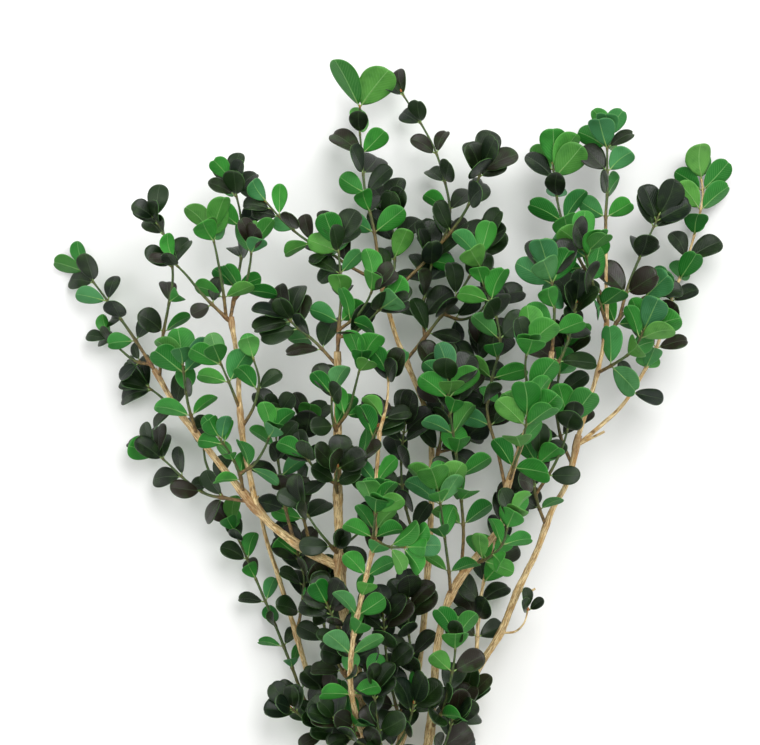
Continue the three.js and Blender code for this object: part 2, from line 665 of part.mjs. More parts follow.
// Fills in what the table leaves out, and starts each twig on the middle line of the one it springs from.
function prepare() {
  Object.entries(PIECES).forEach(([name, piece], number) => {
    piece.twigs.forEach((twig, i) => {
      Object.assign(twig, { thick: TWIG_THICK, thin: TWIG_THIN, pairs: 0, tuft: 0, ...twig });
      const parent = i > 0 ? piece.twigs[0] : piece.from && PIECES[piece.from].twigs[0];
      if (parent) twig.path[0] = nearestOn(parent, vector(twig.path[0])).toArray();
      twig.curve = new THREE.CatmullRomCurve3(twig.path.map(vector), false, "catmullrom", 0.5);
      const woody = twig.thick > WOODY;
      twig.sides = woody ? STEM_SIDES : TWIG_SIDES;
      twig.rings = (twig.path.length - 1) * (woody ? 2 : 1);
      twig.seed = 8 * number + i;
    });
    piece.name = name;
  });
}

// The wood of a piece: its twigs joined, and cut clear of the piece that it springs from.
function woodOf(piece) {
  let wood = piece.twigs.map((twig) => rod(twig, 0)).reduce((a, b) => a.add(b));
  if (piece.from) {
    for (const twig of PIECES[piece.from].twigs) wood = wood.subtract(rod(twig, GAP));
  }
  return wood.decompose().reduce((a, b) => (a.volume() > b.volume() ? a : b));
}

// Grows the leaves of every piece, each clear of the surface and of all that has grown before it.
function growLeaves(pieces) {
  const grown = pieces.map((piece) => (
    { piece, solid: piece.solid, blade: piece.solid, box: piece.solid.boundingBox() }
  ));
  for (const piece of pieces) {
    piece.leaves = [];
    for (const twig of piece.twigs) {
      for (const site of leafSites(twig, twig.seed)) {
        const leaf = TRIES.map((change) => leafAt(twig, site, change)).find((option) => {
          const solid = leafSolid(option, GAP);
          const blade = leafSolid(option, 0, BLADE_START);
          const box = solid.boundingBox();
          return box.min[2] >= FLOOR && !grown.some((other) => boxesMeet(box, other.box)
            && meet(...(other.piece === piece ? [blade, other.blade] : [solid, other.solid])));
        });
        if (!leaf) continue;
        const solid = leafSolid(leaf, 0);
        piece.leaves.push(solid);
        grown.push({ piece, solid, blade: leafSolid(leaf, 0, BLADE_START), box: solid.boundingBox() });
      }
    }
  }
}

// ---- The model ----
const BARK = { color: 0x9a7a45, roughness: 0.8, metalness: 0 };
const DARK_LEAF = { color: 0x22361d, roughness: 0.45, metalness: 0 };
const BRIGHT_LEAF = { color: 0x2f8a2f, roughness: 0.6, metalness: 0 };

function lookOf(piece) {
  if (piece.wood) return BARK;
  return piece.twigs[0].dark > 0.5 ? DARK_LEAF : BRIGHT_LEAF;
}

prepare();
const pieces = Object.values(PIECES);
for (const piece of pieces) piece.solid = woodOf(piece);
growLeaves(pieces);

const branch = new THREE.Group();
for (const piece of pieces) {
  const solid = piece.leaves.reduce((a, b) => a.add(b), piece.solid).simplify(SHORTEST_EDGE);
  const mesh = new THREE.Mesh(geometryOf(solid), new THREE.MeshStandardMaterial(lookOf(piece)));
  mesh.name = piece.name;
  branch.add(mesh);
}

// The origin is under the middle of the branch, on the surface that it lies on.
const bounds = new THREE.Box3().setFromObject(branch);
const middle = bounds.getCenter(new THREE.Vector3());
branch.position.set(-middle.x, -middle.y, -bounds.min.z);

export default branch;
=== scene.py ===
"""The looks of a cut branch of preserved boxwood that lies on a pale floor, seen from above.

Every twig and leaf grows by the rules that the model's own solids grew by, in millimetres with the foot
of the main stem at the start of +Y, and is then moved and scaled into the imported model's frame, in metres.
"""

import json
import math

import bpy
import numpy as np
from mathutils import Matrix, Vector, noise

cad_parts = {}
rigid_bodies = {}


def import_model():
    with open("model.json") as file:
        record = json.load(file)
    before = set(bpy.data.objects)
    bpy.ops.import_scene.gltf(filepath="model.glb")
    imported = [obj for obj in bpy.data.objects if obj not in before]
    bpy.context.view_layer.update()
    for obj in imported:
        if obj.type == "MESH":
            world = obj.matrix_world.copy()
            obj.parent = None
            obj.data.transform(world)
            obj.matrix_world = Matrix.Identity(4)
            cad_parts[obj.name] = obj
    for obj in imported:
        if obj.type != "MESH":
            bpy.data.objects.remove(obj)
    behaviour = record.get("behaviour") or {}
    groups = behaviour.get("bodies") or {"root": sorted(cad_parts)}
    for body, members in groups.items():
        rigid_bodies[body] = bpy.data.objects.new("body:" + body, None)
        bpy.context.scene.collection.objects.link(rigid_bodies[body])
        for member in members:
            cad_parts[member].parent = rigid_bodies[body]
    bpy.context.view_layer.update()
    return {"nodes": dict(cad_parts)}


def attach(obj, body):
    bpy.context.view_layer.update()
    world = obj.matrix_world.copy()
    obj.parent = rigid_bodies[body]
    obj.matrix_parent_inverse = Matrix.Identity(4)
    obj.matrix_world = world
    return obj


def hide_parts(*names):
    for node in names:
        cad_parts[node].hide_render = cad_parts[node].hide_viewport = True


# ---- Sizes in millimetres and degrees ----
MM = 0.001
WOODY = 1.15  # a twig whose radius is larger than this is a stem
LINE_STEPS = 240  # places looked at along a twig to find the nearest one
TWIG_THICK = 1.0  # radius of a leafy twig at its foot
TWIG_THIN = 0.5  # and at its end
FOOT_HEIGHT = 5  # of the middle of the main stem's cut foot
LEAF_STALK = 2  # from the twig's middle to the start of the blade
FIRST_PAIR = 0.24  # place of the first pair of leaves along a twig, from 0 to 1
LAST_PAIR = 0.86
TUFT_PLACE = 0.98  # of the last leaves, and how far below it the next ones are
TUFT_STEP = 0.05
FACING = 0.58  # how far a blade turns from its natural lie towards the sky or the floor
TUFT_LEAF = 1.05  # length of a leaf in the tuft at a twig's end, beside one lower down
WIDE_SPREAD = 62  # degrees between twig and leaf at the first pair
CLOSE_SPREAD = 44  # at the last pair
TUFT_SPREAD = 30  # in the tuft
TIP_MATCH = 0.12  # how close the model has a point to the tip of a leaf that it holds

# The ways in which a leaf may have been turned, spread (degrees) and shortened (share kept) to grow clear.
TRIES = [
    (0, 0, 1), (22, 0, 1), (-22, 0, 1), (0, -16, 1), (0, 16, 1), (42, -8, 1), (-42, -8, 1), (64, 0, 1),
    (-64, 0, 1), (0, -10, 0.75), (35, -14, 0.75), (-35, -14, 0.75), (88, -6, 0.75), (-88, -6, 0.75),
]


# ---- The branch ----
def twig(*path, thick=TWIG_THICK, thin=TWIG_THIN, pairs=0, tuft=0, leaf=0, dark=0):
    """A twig: the points of its middle line, its radius at both ends, its pairs of leaves, the leaves in the
    tuft at its end, the length of a blade, and the share of its leaves that turn their upper side up."""
    return {"path": [np.array(point, float) for point in path], "thick": thick, "thin": thin,
            "pairs": pairs, "tuft": tuft, "leaf": leaf, "dark": dark}


def piece(parent, *twigs):
    return {"parent": parent, "twigs": list(twigs)}


PIECES = {
    "main_stem": piece(None,
        twig((0, 0, 5), (0, 24, 5), (-1, 52, 9), (-6, 86, 20), (-12, 120, 31), (-19, 156, 39),
             (-24, 186, 44), (-25, 212, 47), (-26, 244, 51), (-26, 280, 55), (-26, 318, 58), thick=5,
             thin=1.6)),
    "left_stem": piece("main_stem",
        twig((-25, 199, 45), (-38, 206, 46), (-50, 213, 45), (-64, 224, 43), (-79, 241, 41),
             (-92, 257, 39), (-104, 272, 36), (-114, 285, 32), (-128, 308, 26), thick=2.5, thin=1.3)),
    "left_upright_stem": piece("left_stem",
        twig((-71, 231, 42), (-74, 248, 46), (-78, 269, 50), (-80, 290, 52), (-81, 312, 51),
             (-85, 337, 47), thick=1.7, thin=1.2)),
    "outer_left_stem": piece("main_stem",
        twig((-1, 54, 10), (-12, 76, 8), (-28, 102, 7), (-41, 132, 9), (-50, 162, 12), (-59, 192, 17),
             (-66, 214, 22), (-71, 238, 24), thick=1.9, thin=1)),
    "middle_stem": piece("main_stem",
        twig((-8, 98, 25), (-15, 114, 42), (-19, 138, 57), (-17, 164, 66), (-12, 188, 71), (-6, 216, 73),
             (-5, 246, 71), (-3, 274, 67), thick=1.6, thin=1, pairs=11, leaf=16.5, dark=0.05),
        twig((-3, 274, 67), (1, 290, 69), (2, 306, 71), pairs=2, tuft=4, leaf=16, dark=0.25)),
    "back_stem": piece("main_stem",
        twig((-3, 70, 15), (6, 92, 13), (14, 120, 13), (20, 152, 16), (24, 200, 20), (26, 246, 24),
             (24, 280, 27), (13, 310, 30), (5, 330, 32), (-3, 362, 33), thick=2.1, thin=1.2)),
    "centre_right_stem": piece("main_stem",
        twig((0, 38, 7.5), (11, 60, 13), (20, 84, 21), (25, 108, 29), (27, 134, 36), (30, 162, 43),
             (37, 186, 49), (52, 208, 56), (64, 224, 60), (67, 244, 64), (76, 272, 69), (88, 299, 72),
             (91, 318, 73), thick=2.7, thin=1.2)),
    "right_stem": piece("main_stem",
        twig((0, 20, 5.6), (11, 40, 6), (26, 70, 9), (37, 98, 14), (43, 126, 20), (53, 144, 23),
             (64, 162, 27), (74, 187, 32), (84, 208, 36), (92, 230, 39), (101, 247, 40), (107, 272, 40),
             thick=2.7, thin=1.3),
        twig((75, 186, 32), (79, 185, 34), (83, 187, 36), thick=0.8, thin=0.6),
        twig((106, 266, 40), (113, 270, 42), (121, 274, 44), thick=0.9, thin=0.7),
        twig((65, 162, 27), (72, 163, 31), (77, 168, 34), (79, 175, 35), thick=0.7, thin=0.4, pairs=0,
             tuft=3, leaf=10, dark=0.8)),
    "right_upright_stem": piece("right_stem",
        twig((107, 272, 40), (113, 292, 43), (118, 310, 44), (122, 332, 44), (122, 354, 42),
             (122, 376, 40), thick=1.3, thin=0.9)),
    "left_tip_shoot": piece("left_stem",
        twig((-128, 308, 26), (-139, 325, 22), (-149, 339, 18), (-158, 351, 15), (-168, 364, 12), pairs=4,
             tuft=2, leaf=16.5, dark=0.8),
        twig((-130, 311, 25), (-139, 313, 20), (-147, 319, 16), (-154, 326, 13), pairs=2, tuft=3, leaf=11,
             dark=0.9)),
    "left_drooping_shoot": piece("left_stem",
        twig((-112, 282, 33), (-119, 288, 24), (-126, 294, 17), (-133, 299, 12), pairs=2, tuft=4,
             leaf=17.5, dark=1)),
    "left_upright_shoot": piece("left_stem",
        twig((-125, 303, 27), (-123, 326, 34), (-120, 341, 39), (-117, 360, 43), (-120, 378, 46),
             (-127, 393, 48), pairs=4, tuft=4, leaf=15, dark=0.8)),
    "left_front_shoot": piece("left_stem",
        twig((-104, 272, 36), (-108, 287, 45), (-110, 300, 51), (-111, 311, 55), pairs=3, tuft=4,
             leaf=17.5, dark=0.3)),
    "left_middle_shoot": piece("left_stem",
        twig((-78, 240, 41), (-80, 251, 50), (-85, 262, 56), (-91, 271, 60), pairs=3, tuft=3, leaf=13,
             dark=0),
        twig((-80, 251, 50), (-72, 256, 57), (-66, 265, 62), (-62, 275, 65), pairs=2, tuft=4, leaf=16,
             dark=0.1)),
    "left_low_shoot": piece("left_stem",
        twig((-74, 235, 41), (-88, 237, 32), (-99, 239, 26), (-110, 246, 21), (-121, 256, 17),
             (-129, 263, 14), pairs=4, tuft=4, leaf=16, dark=0.9),
        twig((-90, 238, 31), (-96, 248, 25), (-100, 258, 21), (-101, 268, 18), pairs=2, tuft=4, leaf=15,
             dark=1)),
    "fan_left_shoot": piece("left_upright_stem",
        twig((-84, 334, 47), (-99, 348, 52), (-109, 360, 55), (-117, 368, 57), pairs=2, tuft=3, leaf=12,
             dark=0.6),
        twig((-87, 337, 48), (-89, 352, 54), (-92, 370, 59), (-95, 384, 62), pairs=2, tuft=4, leaf=17.5,
             dark=0)),
    "fan_tall_shoot": piece("left_upright_stem",
        twig((-85, 337, 47), (-82, 354, 44), (-79, 374, 42), (-80, 395, 41), (-85, 414, 40), pairs=4,
             tuft=6, leaf=16, dark=0.7),
        twig((-83, 346, 45), (-77, 354, 53), (-74, 366, 58), (-73, 376, 61), pairs=2, tuft=4, leaf=16,
             dark=0.3)),
    "fan_low_shoot": piece("left_upright_stem",
        twig((-80, 286, 52), (-85, 300, 59), (-90, 312, 64), pairs=1, tuft=3, leaf=16.5, dark=0)),
    "fan_right_shoot": piece("left_upright_stem",
        twig((-79, 276, 51), (-72, 288, 56), (-69, 302, 60), (-72, 314, 62), pairs=1, tuft=2, leaf=16,
             dark=0.2)),
    "inner_left_shoot": piece("left_stem",
        twig((-50, 213, 45), (-55, 232, 40), (-58, 250, 37), (-60, 266, 35), (-60, 282, 34), pairs=6,
             tuft=4, leaf=16, dark=0.9)),
    "inner_low_shoot": piece("left_stem",
        twig((-40, 207, 46), (-45, 226, 32), (-48, 246, 25), (-47, 262, 22), (-44, 277, 21), pairs=4,
             tuft=5, leaf=16.5, dark=0.7)),
    "outer_left_shoot": piece("outer_left_stem",
        twig((-28, 102, 7), (-43, 120, 8), (-52, 142, 9), (-61, 165, 11), (-71, 189, 13), (-80, 210, 16),
             (-86, 224, 19), thick=1.1, pairs=8, tuft=4, leaf=13, dark=0.6)),
    "outer_inner_shoot": piece("outer_left_stem",
        twig((-49, 160, 12), (-46, 178, 20), (-45, 194, 25), (-49, 208, 28), pairs=5, tuft=4, leaf=16,
             dark=0.9)),
    "low_left_shoot": piece("outer_left_stem",
        twig((-27, 100, 7), (-36, 108, 14), (-45, 114, 19), (-52, 120, 22), pairs=3, tuft=4, leaf=15,
             dark=1)),
    "low_inner_shoot": piece("main_stem",
        twig((-13, 126, 32), (-24, 142, 31), (-32, 159, 30), (-35, 176, 31), (-36, 190, 32), pairs=6,
             tuft=4, leaf=17.5, dark=1),
        twig((-22, 140, 31), (-20, 148, 42), (-22, 158, 50), (-27, 169, 56), (-32, 180, 59), pairs=5,
             tuft=4, leaf=16.5, dark=0.9)),
    "foot_left_shoot": piece("main_stem",
        twig((-8, 98, 25), (-18, 108, 21), (-27, 118, 18), (-33, 130, 17), pairs=4, tuft=4, leaf=16.5,
             dark=0.9),
        twig((-15, 105, 22), (-24, 103, 16), (-31, 106, 13), (-36, 113, 12), pairs=4, tuft=4, leaf=16,
             dark=0.9),
        twig((-14, 104, 22), (-17, 106, 33), (-17, 112, 41), pairs=1, tuft=4, leaf=15, dark=0.4)),
    "fork_twig": piece("main_stem",
        twig((-25, 206, 46), (-31, 213, 56), (-38, 222, 62), (-45, 233, 66), pairs=2, tuft=3, leaf=16,
             dark=1),
        twig((-28, 210, 52), (-20, 214, 58), (-12, 221, 62), pairs=2, tuft=3, leaf=16, dark=0.8)),
    "stem_low_shoot": piece("main_stem",
        twig((-26, 238, 50), (-27, 246, 60), (-26, 255, 67), pairs=1, tuft=4, leaf=18, dark=0.7),
        twig((-27, 245, 58), (-18, 252, 62), (-10, 264, 64), (-4, 277, 65), pairs=3, tuft=4, leaf=16.5,
             dark=0.8),
        twig((-27, 246, 59), (-36, 251, 61), (-43, 260, 62), pairs=2, tuft=3, leaf=16, dark=0.9)),
    "stem_front_shoot": piece("main_stem",
        twig((-26, 272, 54), (-29, 283, 62), (-29, 295, 67), pairs=2, tuft=3, leaf=16, dark=0.5),
        twig((-27, 276, 56), (-20, 286, 65), (-16, 300, 70), (-13, 312, 73), pairs=2, tuft=4, leaf=16.5,
             dark=0)),
    "centre_left_shoot": piece("main_stem",
        twig((-26, 310, 57), (-38, 323, 52), (-48, 331, 48), (-54, 337, 46), pairs=4, tuft=6, leaf=17.5,
             dark=0.85)),
    "stem_end_shoot": piece("main_stem",
        twig((-26, 318, 58), (-25, 335, 56), (-24, 351, 54), (-25, 367, 52), (-26, 379, 50), pairs=4,
             tuft=5, leaf=17.5, dark=0.6),
        twig((-25, 330, 57), (-16, 337, 64), (-10, 345, 69), (-6, 354, 72), pairs=2, tuft=4, leaf=16,
             dark=0.6),
        twig((-26, 326, 57), (-17, 328, 61), (-9, 335, 65), (-1, 343, 68), pairs=2, tuft=4, leaf=17,
             dark=0.7)),
    "tallest_shoot": piece("back_stem",
        twig((-3, 362, 33), (-6, 385, 31), (-11, 407, 28), (-13, 429, 25), (-15, 452, 22), pairs=6,
             leaf=18, dark=0.5),
        twig((-14, 447, 22), (-14, 451, 23), (-14, 454, 24), tuft=2, leaf=26, dark=0.5)),
    "upper_left_twig": piece("back_stem",
        twig((-3, 356, 33), (-19, 365, 38), (-31, 373, 42), (-44, 380, 45), (-55, 389, 46),
             (-66, 401, 46), pairs=5, tuft=3, leaf=16, dark=0.7)),
    "arching_twig": piece("back_stem",
        twig((2, 346, 32), (12, 358, 28), (24, 370, 25), (34, 384, 23), (36, 398, 22), (33, 414, 21),
             (28, 430, 20), (19, 447, 19), (9, 463, 18), pairs=6, tuft=2, leaf=15, dark=0.9),
        twig((26, 372, 25), (37, 385, 33), (45, 397, 38), (50, 409, 41), (54, 421, 43), pairs=3, tuft=6,
             leaf=17.5, dark=1)),
    "upper_back_shoot": piece("back_stem",
        twig((-1, 352, 33), (5, 364, 22), (5, 380, 15), (3, 396, 12), pairs=4, tuft=4, leaf=18,
             dark=0.9)),
    "back_right_shoot": piece("back_stem",
        twig((11, 313, 30), (22, 326, 32), (32, 339, 34), (42, 352, 34), (50, 366, 33), (55, 380, 32),
             pairs=5, tuft=5, leaf=18, dark=0.9),
        twig((22, 326, 32), (21, 342, 27), (24, 358, 24), (27, 371, 23), pairs=4, tuft=4, leaf=18,
             dark=0.95),
        twig((32, 339, 34), (42, 336, 26), (51, 339, 22), (58, 346, 20), pairs=2, tuft=4, leaf=17,
             dark=0.9)),
    "back_middle_shoot": piece("back_stem",
        twig((26, 248, 24), (31, 270, 30), (32, 290, 34), (30, 308, 37), pairs=4, tuft=4, leaf=18,
             dark=1),
        twig((31, 276, 31), (40, 290, 28), (48, 305, 25), (54, 321, 24), pairs=4, tuft=4, leaf=18,
             dark=1),
        twig((29, 262, 28), (38, 265, 25), (47, 272, 23), (53, 282, 22), pairs=3, tuft=4, leaf=17.5,
             dark=1)),
    "back_inner_shoot": piece("back_stem",
        twig((24, 202, 20), (15, 220, 27), (10, 240, 32), (9, 260, 36), (11, 278, 38), pairs=5, tuft=4,
             leaf=18, dark=0.9)),
    "back_low_shoot": piece("back_stem",
        twig((10, 106, 13), (6, 122, 24), (2, 140, 34), (0, 158, 42), (-1, 174, 47), pairs=5, tuft=4,
             leaf=17.5, dark=1),
        twig((8, 116, 20), (14, 130, 26), (15, 146, 30), (13, 164, 34), (13, 182, 38), pairs=5, tuft=4,
             leaf=17.5, dark=1)),
    "foot_middle_shoot": piece("main_stem",
        twig((-5, 82, 19), (-2, 94, 33), (-3, 106, 43), (-5, 120, 50), (-6, 136, 54), pairs=5, tuft=4,
             leaf=17, dark=0.95),
        twig((-3, 92, 31), (7, 101, 36), (13, 112, 39), (16, 124, 41), pairs=3, tuft=4, leaf=17,
             dark=0.9),
        twig((-3, 94, 33), (-12, 101, 40), (-21, 107, 44), (-28, 116, 46), pairs=3, tuft=4, leaf=16.5,
             dark=1)),
    "foot_right_shoot": piece("centre_right_stem",
        twig((18, 78, 18), (27, 90, 27), (34, 103, 33), (38, 117, 36), pairs=3, tuft=4, leaf=17,
             dark=0.9),
        twig((31, 97, 30), (38, 105, 27), (43, 115, 25), (45, 126, 24), pairs=3, tuft=3, leaf=16.5,
             dark=0.8)),
    "centre_bright_shoot": piece("centre_right_stem",
        twig((42, 193, 51), (43, 218, 58), (41, 244, 63), (38, 268, 67), (35, 288, 71), (34, 303, 75),
             pairs=7, tuft=6, leaf=18.5, dark=0.25)),
    "centre_right_twig": piece("centre_right_stem",
        twig((66, 240, 63), (62, 262, 62), (56, 285, 61), (59, 305, 62), (63, 322, 64), (60, 340, 66),
             (54, 354, 68), (51, 372, 70), pairs=8, tuft=4, leaf=16.5, dark=0.2)),
    "bright_end_shoot": piece("centre_right_stem",
        twig((91, 318, 73), (92, 332, 75), (92, 346, 76), (90, 361, 76), pairs=3, tuft=5, leaf=20,
             dark=0.05)),
    "bright_upper_shoot": piece("centre_right_stem",
        twig((82, 286, 70), (78, 297, 80), (76, 309, 87), (77, 320, 91), pairs=2, tuft=4, leaf=19.5,
             dark=0.1)),
    "bright_front_shoot": piece("centre_right_stem",
        twig((68, 247, 64), (71, 258, 75), (75, 270, 83), (77, 283, 88), pairs=3, tuft=4, leaf=20,
             dark=0)),
    "bright_low_shoot": piece("centre_right_stem",
        twig((36, 184, 49), (35, 198, 61), (33, 213, 69), (31, 229, 75), (29, 242, 78), pairs=3, tuft=5,
             leaf=18.5, dark=0.05)),
    "pale_shoot": piece("centre_right_stem",
        twig((47, 201, 54), (56, 205, 64), (64, 213, 71), (68, 228, 76), pairs=4, tuft=4, leaf=16,
             dark=0.1)),
    "middle_front_shoot": piece("middle_stem",
        twig((-7, 212, 73), (-6, 222, 83), (-5, 233, 89), pairs=2, tuft=5, leaf=17.5, dark=0),
        twig((-7, 216, 77), (2, 212, 84), (11, 212, 88), pairs=1, tuft=4, leaf=17.5, dark=0.1)),
    "low_right_shoot": piece("centre_right_stem",
        twig((25, 108, 29), (31, 118, 38), (35, 132, 46), (38, 148, 51), (39, 162, 54), pairs=4, tuft=4,
             leaf=16.5, dark=0.5)),
    "inner_right_shoot": piece("right_stem",
        twig((49, 137, 22), (51, 152, 17), (52, 168, 14), (54, 184, 13), (58, 202, 13), (64, 220, 14),
             (72, 236, 16), thick=1.3, pairs=7, tuft=4, leaf=17.5, dark=0.85)),
    "right_low_shoot": piece("right_stem",
        twig((89, 222, 38), (84, 235, 46), (82, 248, 50), (85, 262, 52), pairs=3, tuft=4, leaf=16.5,
             dark=0.4),
        twig((83, 240, 47), (92, 254, 54), (98, 268, 58), (101, 280, 60), pairs=2, tuft=4, leaf=17.5,
             dark=0.3)),
    "right_back_shoot": piece("right_stem",
        twig((103, 256, 40), (97, 272, 34), (95, 290, 30), (97, 308, 28), (101, 324, 28), pairs=5, tuft=5,
             leaf=18.5, dark=0.75)),
    "right_dark_shoot": piece("centre_right_stem",
        twig((89, 305, 72), (97, 316, 61), (102, 330, 56), (105, 345, 54), pairs=3, tuft=5, leaf=19.5,
             dark=0.9)),
    "right_top_shoot": piece("right_upright_stem",
        twig((122, 376, 40), (122, 393, 38), (123, 408, 36), (123, 424, 34), (123, 438, 32), pairs=4,
             tuft=6, leaf=16.5, dark=0.25)),
    "right_inner_shoot": piece("right_upright_stem",
        twig((122, 346, 43), (112, 361, 40), (103, 378, 38), (97, 394, 36), (94, 411, 34), (93, 422, 33),
             pairs=5, tuft=4, leaf=19.5, dark=0.1)),
    "right_front_shoot": piece("right_upright_stem",
        twig((122, 334, 44), (117, 347, 55), (112, 361, 63), (109, 375, 69), pairs=3, tuft=4, leaf=20,
             dark=0.1)),
    "right_outer_shoot": piece("right_upright_stem",
        twig((121, 324, 44), (130, 337, 40), (138, 345, 36), (147, 350, 33), pairs=2, tuft=4, leaf=17.5,
             dark=0.5),
        twig((129, 336, 40), (135, 356, 38), (144, 377, 34), (152, 394, 31), pairs=3, tuft=4, leaf=18.5,
             dark=0.9)),
    "right_bright_shoot": piece("right_upright_stem",
        twig((117, 306, 44), (127, 312, 53), (136, 319, 59), (142, 330, 62), pairs=3, tuft=4, leaf=19.5,
             dark=0.1)),
    "far_right_twig": piece("right_stem",
        twig((106, 266, 40), (119, 277, 35), (132, 289, 31), (143, 306, 28), (151, 321, 25),
             (156, 338, 23), (162, 354, 21), (168, 369, 19), (173, 386, 18), (177, 404, 17), (176, 416, 17),
             thick=1.2, pairs=9, tuft=4, leaf=17.5, dark=0.4)),
}


# ---- Growth ----
def chance(a, b):
    """A number from -1 to 1 that is always the same for the same two whole numbers."""
    h = ((a + 1) * 374761393 + (b + 1) * 668265263) & 0xFFFFFFFF
    h = ((h ^ (h >> 13)) * 1274126177) & 0xFFFFFFFF
    return (h ^ (h >> 16)) / 2147483648 - 1


def share(a, b):
    """The same as a number from 0 to 1."""
    return (chance(a, b) + 1) / 2


def unit(v):
    return v / np.linalg.norm(v)


def turned(v, axis, angle):
    """A vector turned round a unit axis by an angle in radians."""
    return (v * math.cos(angle) + np.cross(axis, v) * math.sin(angle)
            + axis * np.dot(axis, v) * (1 - math.cos(angle)))


def point_on(twig, t):
    """The place on a twig's smooth middle line, from 0 to 1 along it."""
    path = twig["path"]
    last = len(path) - 1
    start = min(int(t * last), last - 1)
    w = t * last - start
    a, b = path[start], path[start + 1]
    before = path[start - 1] if start > 0 else 2 * a - b
    after = path[start + 2] if start + 2 <= last else 2 * b - a
    rise_a, rise_b = (b - before) / 2, (after - a) / 2
    return (a + rise_a * w + (3 * (b - a) - 2 * rise_a - rise_b) * w * w
            + (2 * (a - b) + rise_a + rise_b) * w * w * w)


def directions_at(twig, t):
    """The directions at a place of a twig: along it, level across it, and up from it."""
    step = 0.0001
    along = unit(point_on(twig, min(t + step, 1)) - point_on(twig, max(t - step, 0)))
    across = unit(np.cross(along, (0, 0, 1)))
    return along, across, np.cross(across, along)


def place_at(twig, t):
    """The middle of the rod that the model has for a twig, which is straight from ring to ring."""
    rings = twig["rings"]
    ring = min(int(t * rings), rings - 1)
    w = t * rings - ring
    return point_on(twig, ring / rings) * (1 - w) + point_on(twig, (ring + 1) / rings) * w


def nearest_on(twig, place):
    points = [place_at(twig, i / LINE_STEPS) for i in range(LINE_STEPS + 1)]
    gaps = [float(np.sum((p - place) ** 2)) for p in points]
    return points[gaps.index(min(gaps))]


def prepare():
    """Starts each twig on the middle line of the one it springs from, and says how the model divides it."""
    for number, (name, made) in enumerate(PIECES.items()):
        made["name"] = name
        made["number"] = number
        for i, part in enumerate(made["twigs"]):
            if i > 0:
                part["path"][0] = nearest_on(made["twigs"][0], part["path"][0])
            elif made["parent"]:
                part["path"][0] = nearest_on(PIECES[made["parent"]]["twigs"][0], part["path"][0])
            part["rings"] = (len(part["path"]) - 1) * (2 if part["thick"] > WOODY else 1)
            part["seed"] = 8 * number + i


def leaf_sites(twig):
    """Where the leaves of a twig grow: the place along it, the turn round it, the spread and the length."""
    sites = []
    seed, pairs, tuft = twig["seed"], twig["pairs"], twig["tuft"]
    phase = 25 * chance(seed, 0)
    tufts = math.ceil(tuft / 2)
    for k in range(pairs + tufts):
        above = k - pairs
        rise = min(k / (pairs - 1), 1) if pairs > 1 else 0.5
        leaves = 1 if above >= 0 and tuft % 2 == 1 and k == pairs + tufts - 1 else 2
        for half in range(leaves):
            draw = 10 * (2 * k + half) + 1
            if above >= 0:
                t, spread, size = TUFT_PLACE - TUFT_STEP * above, TUFT_SPREAD + 14 * above, TUFT_LEAF
            else:
                t = FIRST_PAIR + (LAST_PAIR - FIRST_PAIR) * rise
                spread, size = WIDE_SPREAD + (CLOSE_SPREAD - WIDE_SPREAD) * rise, 1
            sites.append({
                "t": t,
                "turn": phase + k * 90 + half * 180 + 14 * chance(seed, draw),
                "spread": spread + 9 * chance(seed, draw + 1),
                "length": twig["leaf"] * size * (1 + 0.16 * chance(seed, draw + 2)),
                "sky": 1 if chance(seed, draw + 3) < 2 * twig["dark"] - 1 else -1,
                "roll": 16 * chance(seed, draw + 4),
                "seed": 1000 * seed + draw,
            })
    return sites


def leaf_at(twig, site, change):
    """The leaf that grows at a site when it is turned, spread and shortened as one of TRIES says."""
    along, across, up = directions_at(twig, site["t"])
    turn = math.radians(site["turn"] + change[0])
    spread = math.radians(site["spread"] + change[1])
    outward = across * math.cos(turn) + up * math.sin(turn)
    direction = along * math.cos(spread) + outward * math.sin(spread)
    natural = unit(along - direction * np.dot(along, direction))
    sky = np.array((0, 0, site["sky"]), float)
    sky = unit(sky - direction * np.dot(sky, direction))
    face = turned(unit(natural * (1 - FACING) + sky * FACING), direction, math.radians(site["roll"]))
    length = site["length"] * change[2]
    foot = place_at(twig, site["t"])
    return {"foot": foot, "along": direction, "face": face, "length": length, "seed": site["seed"],
            "tip": foot + direction * (LEAF_STALK + length)}


def leaves_of(made, points):
    """The leaves that the model's solid of a piece holds: each has its tip among the solid's points."""
    leaves = []
    for part in made["twigs"]:
        for site in leaf_sites(part):
            for change in TRIES:
                leaf = leaf_at(part, site, change)
                if np.min(np.linalg.norm(points - leaf["tip"], axis=1)) < TIP_MATCH:
                    leaves.append(leaf)
                    break
    return leaves


def model_points(node, shift):
    """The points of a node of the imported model, moved into the frame that the branch grows in."""
    mesh = node.data
    points = np.empty(len(mesh.vertices) * 3, np.float32)
    mesh.vertices.foreach_get("co", points)
    return points.reshape(-1, 3).astype(float) / MM - shift


def frame_shift(node):
    """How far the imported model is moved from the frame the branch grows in, with its foot at Y = 0."""
    points = model_points(node, np.zeros(3))
    low = points.min(0)
    rim = points[points[:, 1] < low[1] + 0.01]
    foot = (rim.min(0) + rim.max(0)) / 2
    return np.array((foot[0], low[1], foot[2] - FOOT_HEIGHT))


# ---- Shapes ----
# Each piece is one mesh. Its points carry two vectors that the materials read: `place`, which is (along,
# across, inside the rim) on a leaf and (along, sideways, up) in metres on a twig, and `tone`, three numbers
# from 0 to 1 for its colour.
UPPER, UNDER, STALK, BARK, CUT, BUD = range(6)


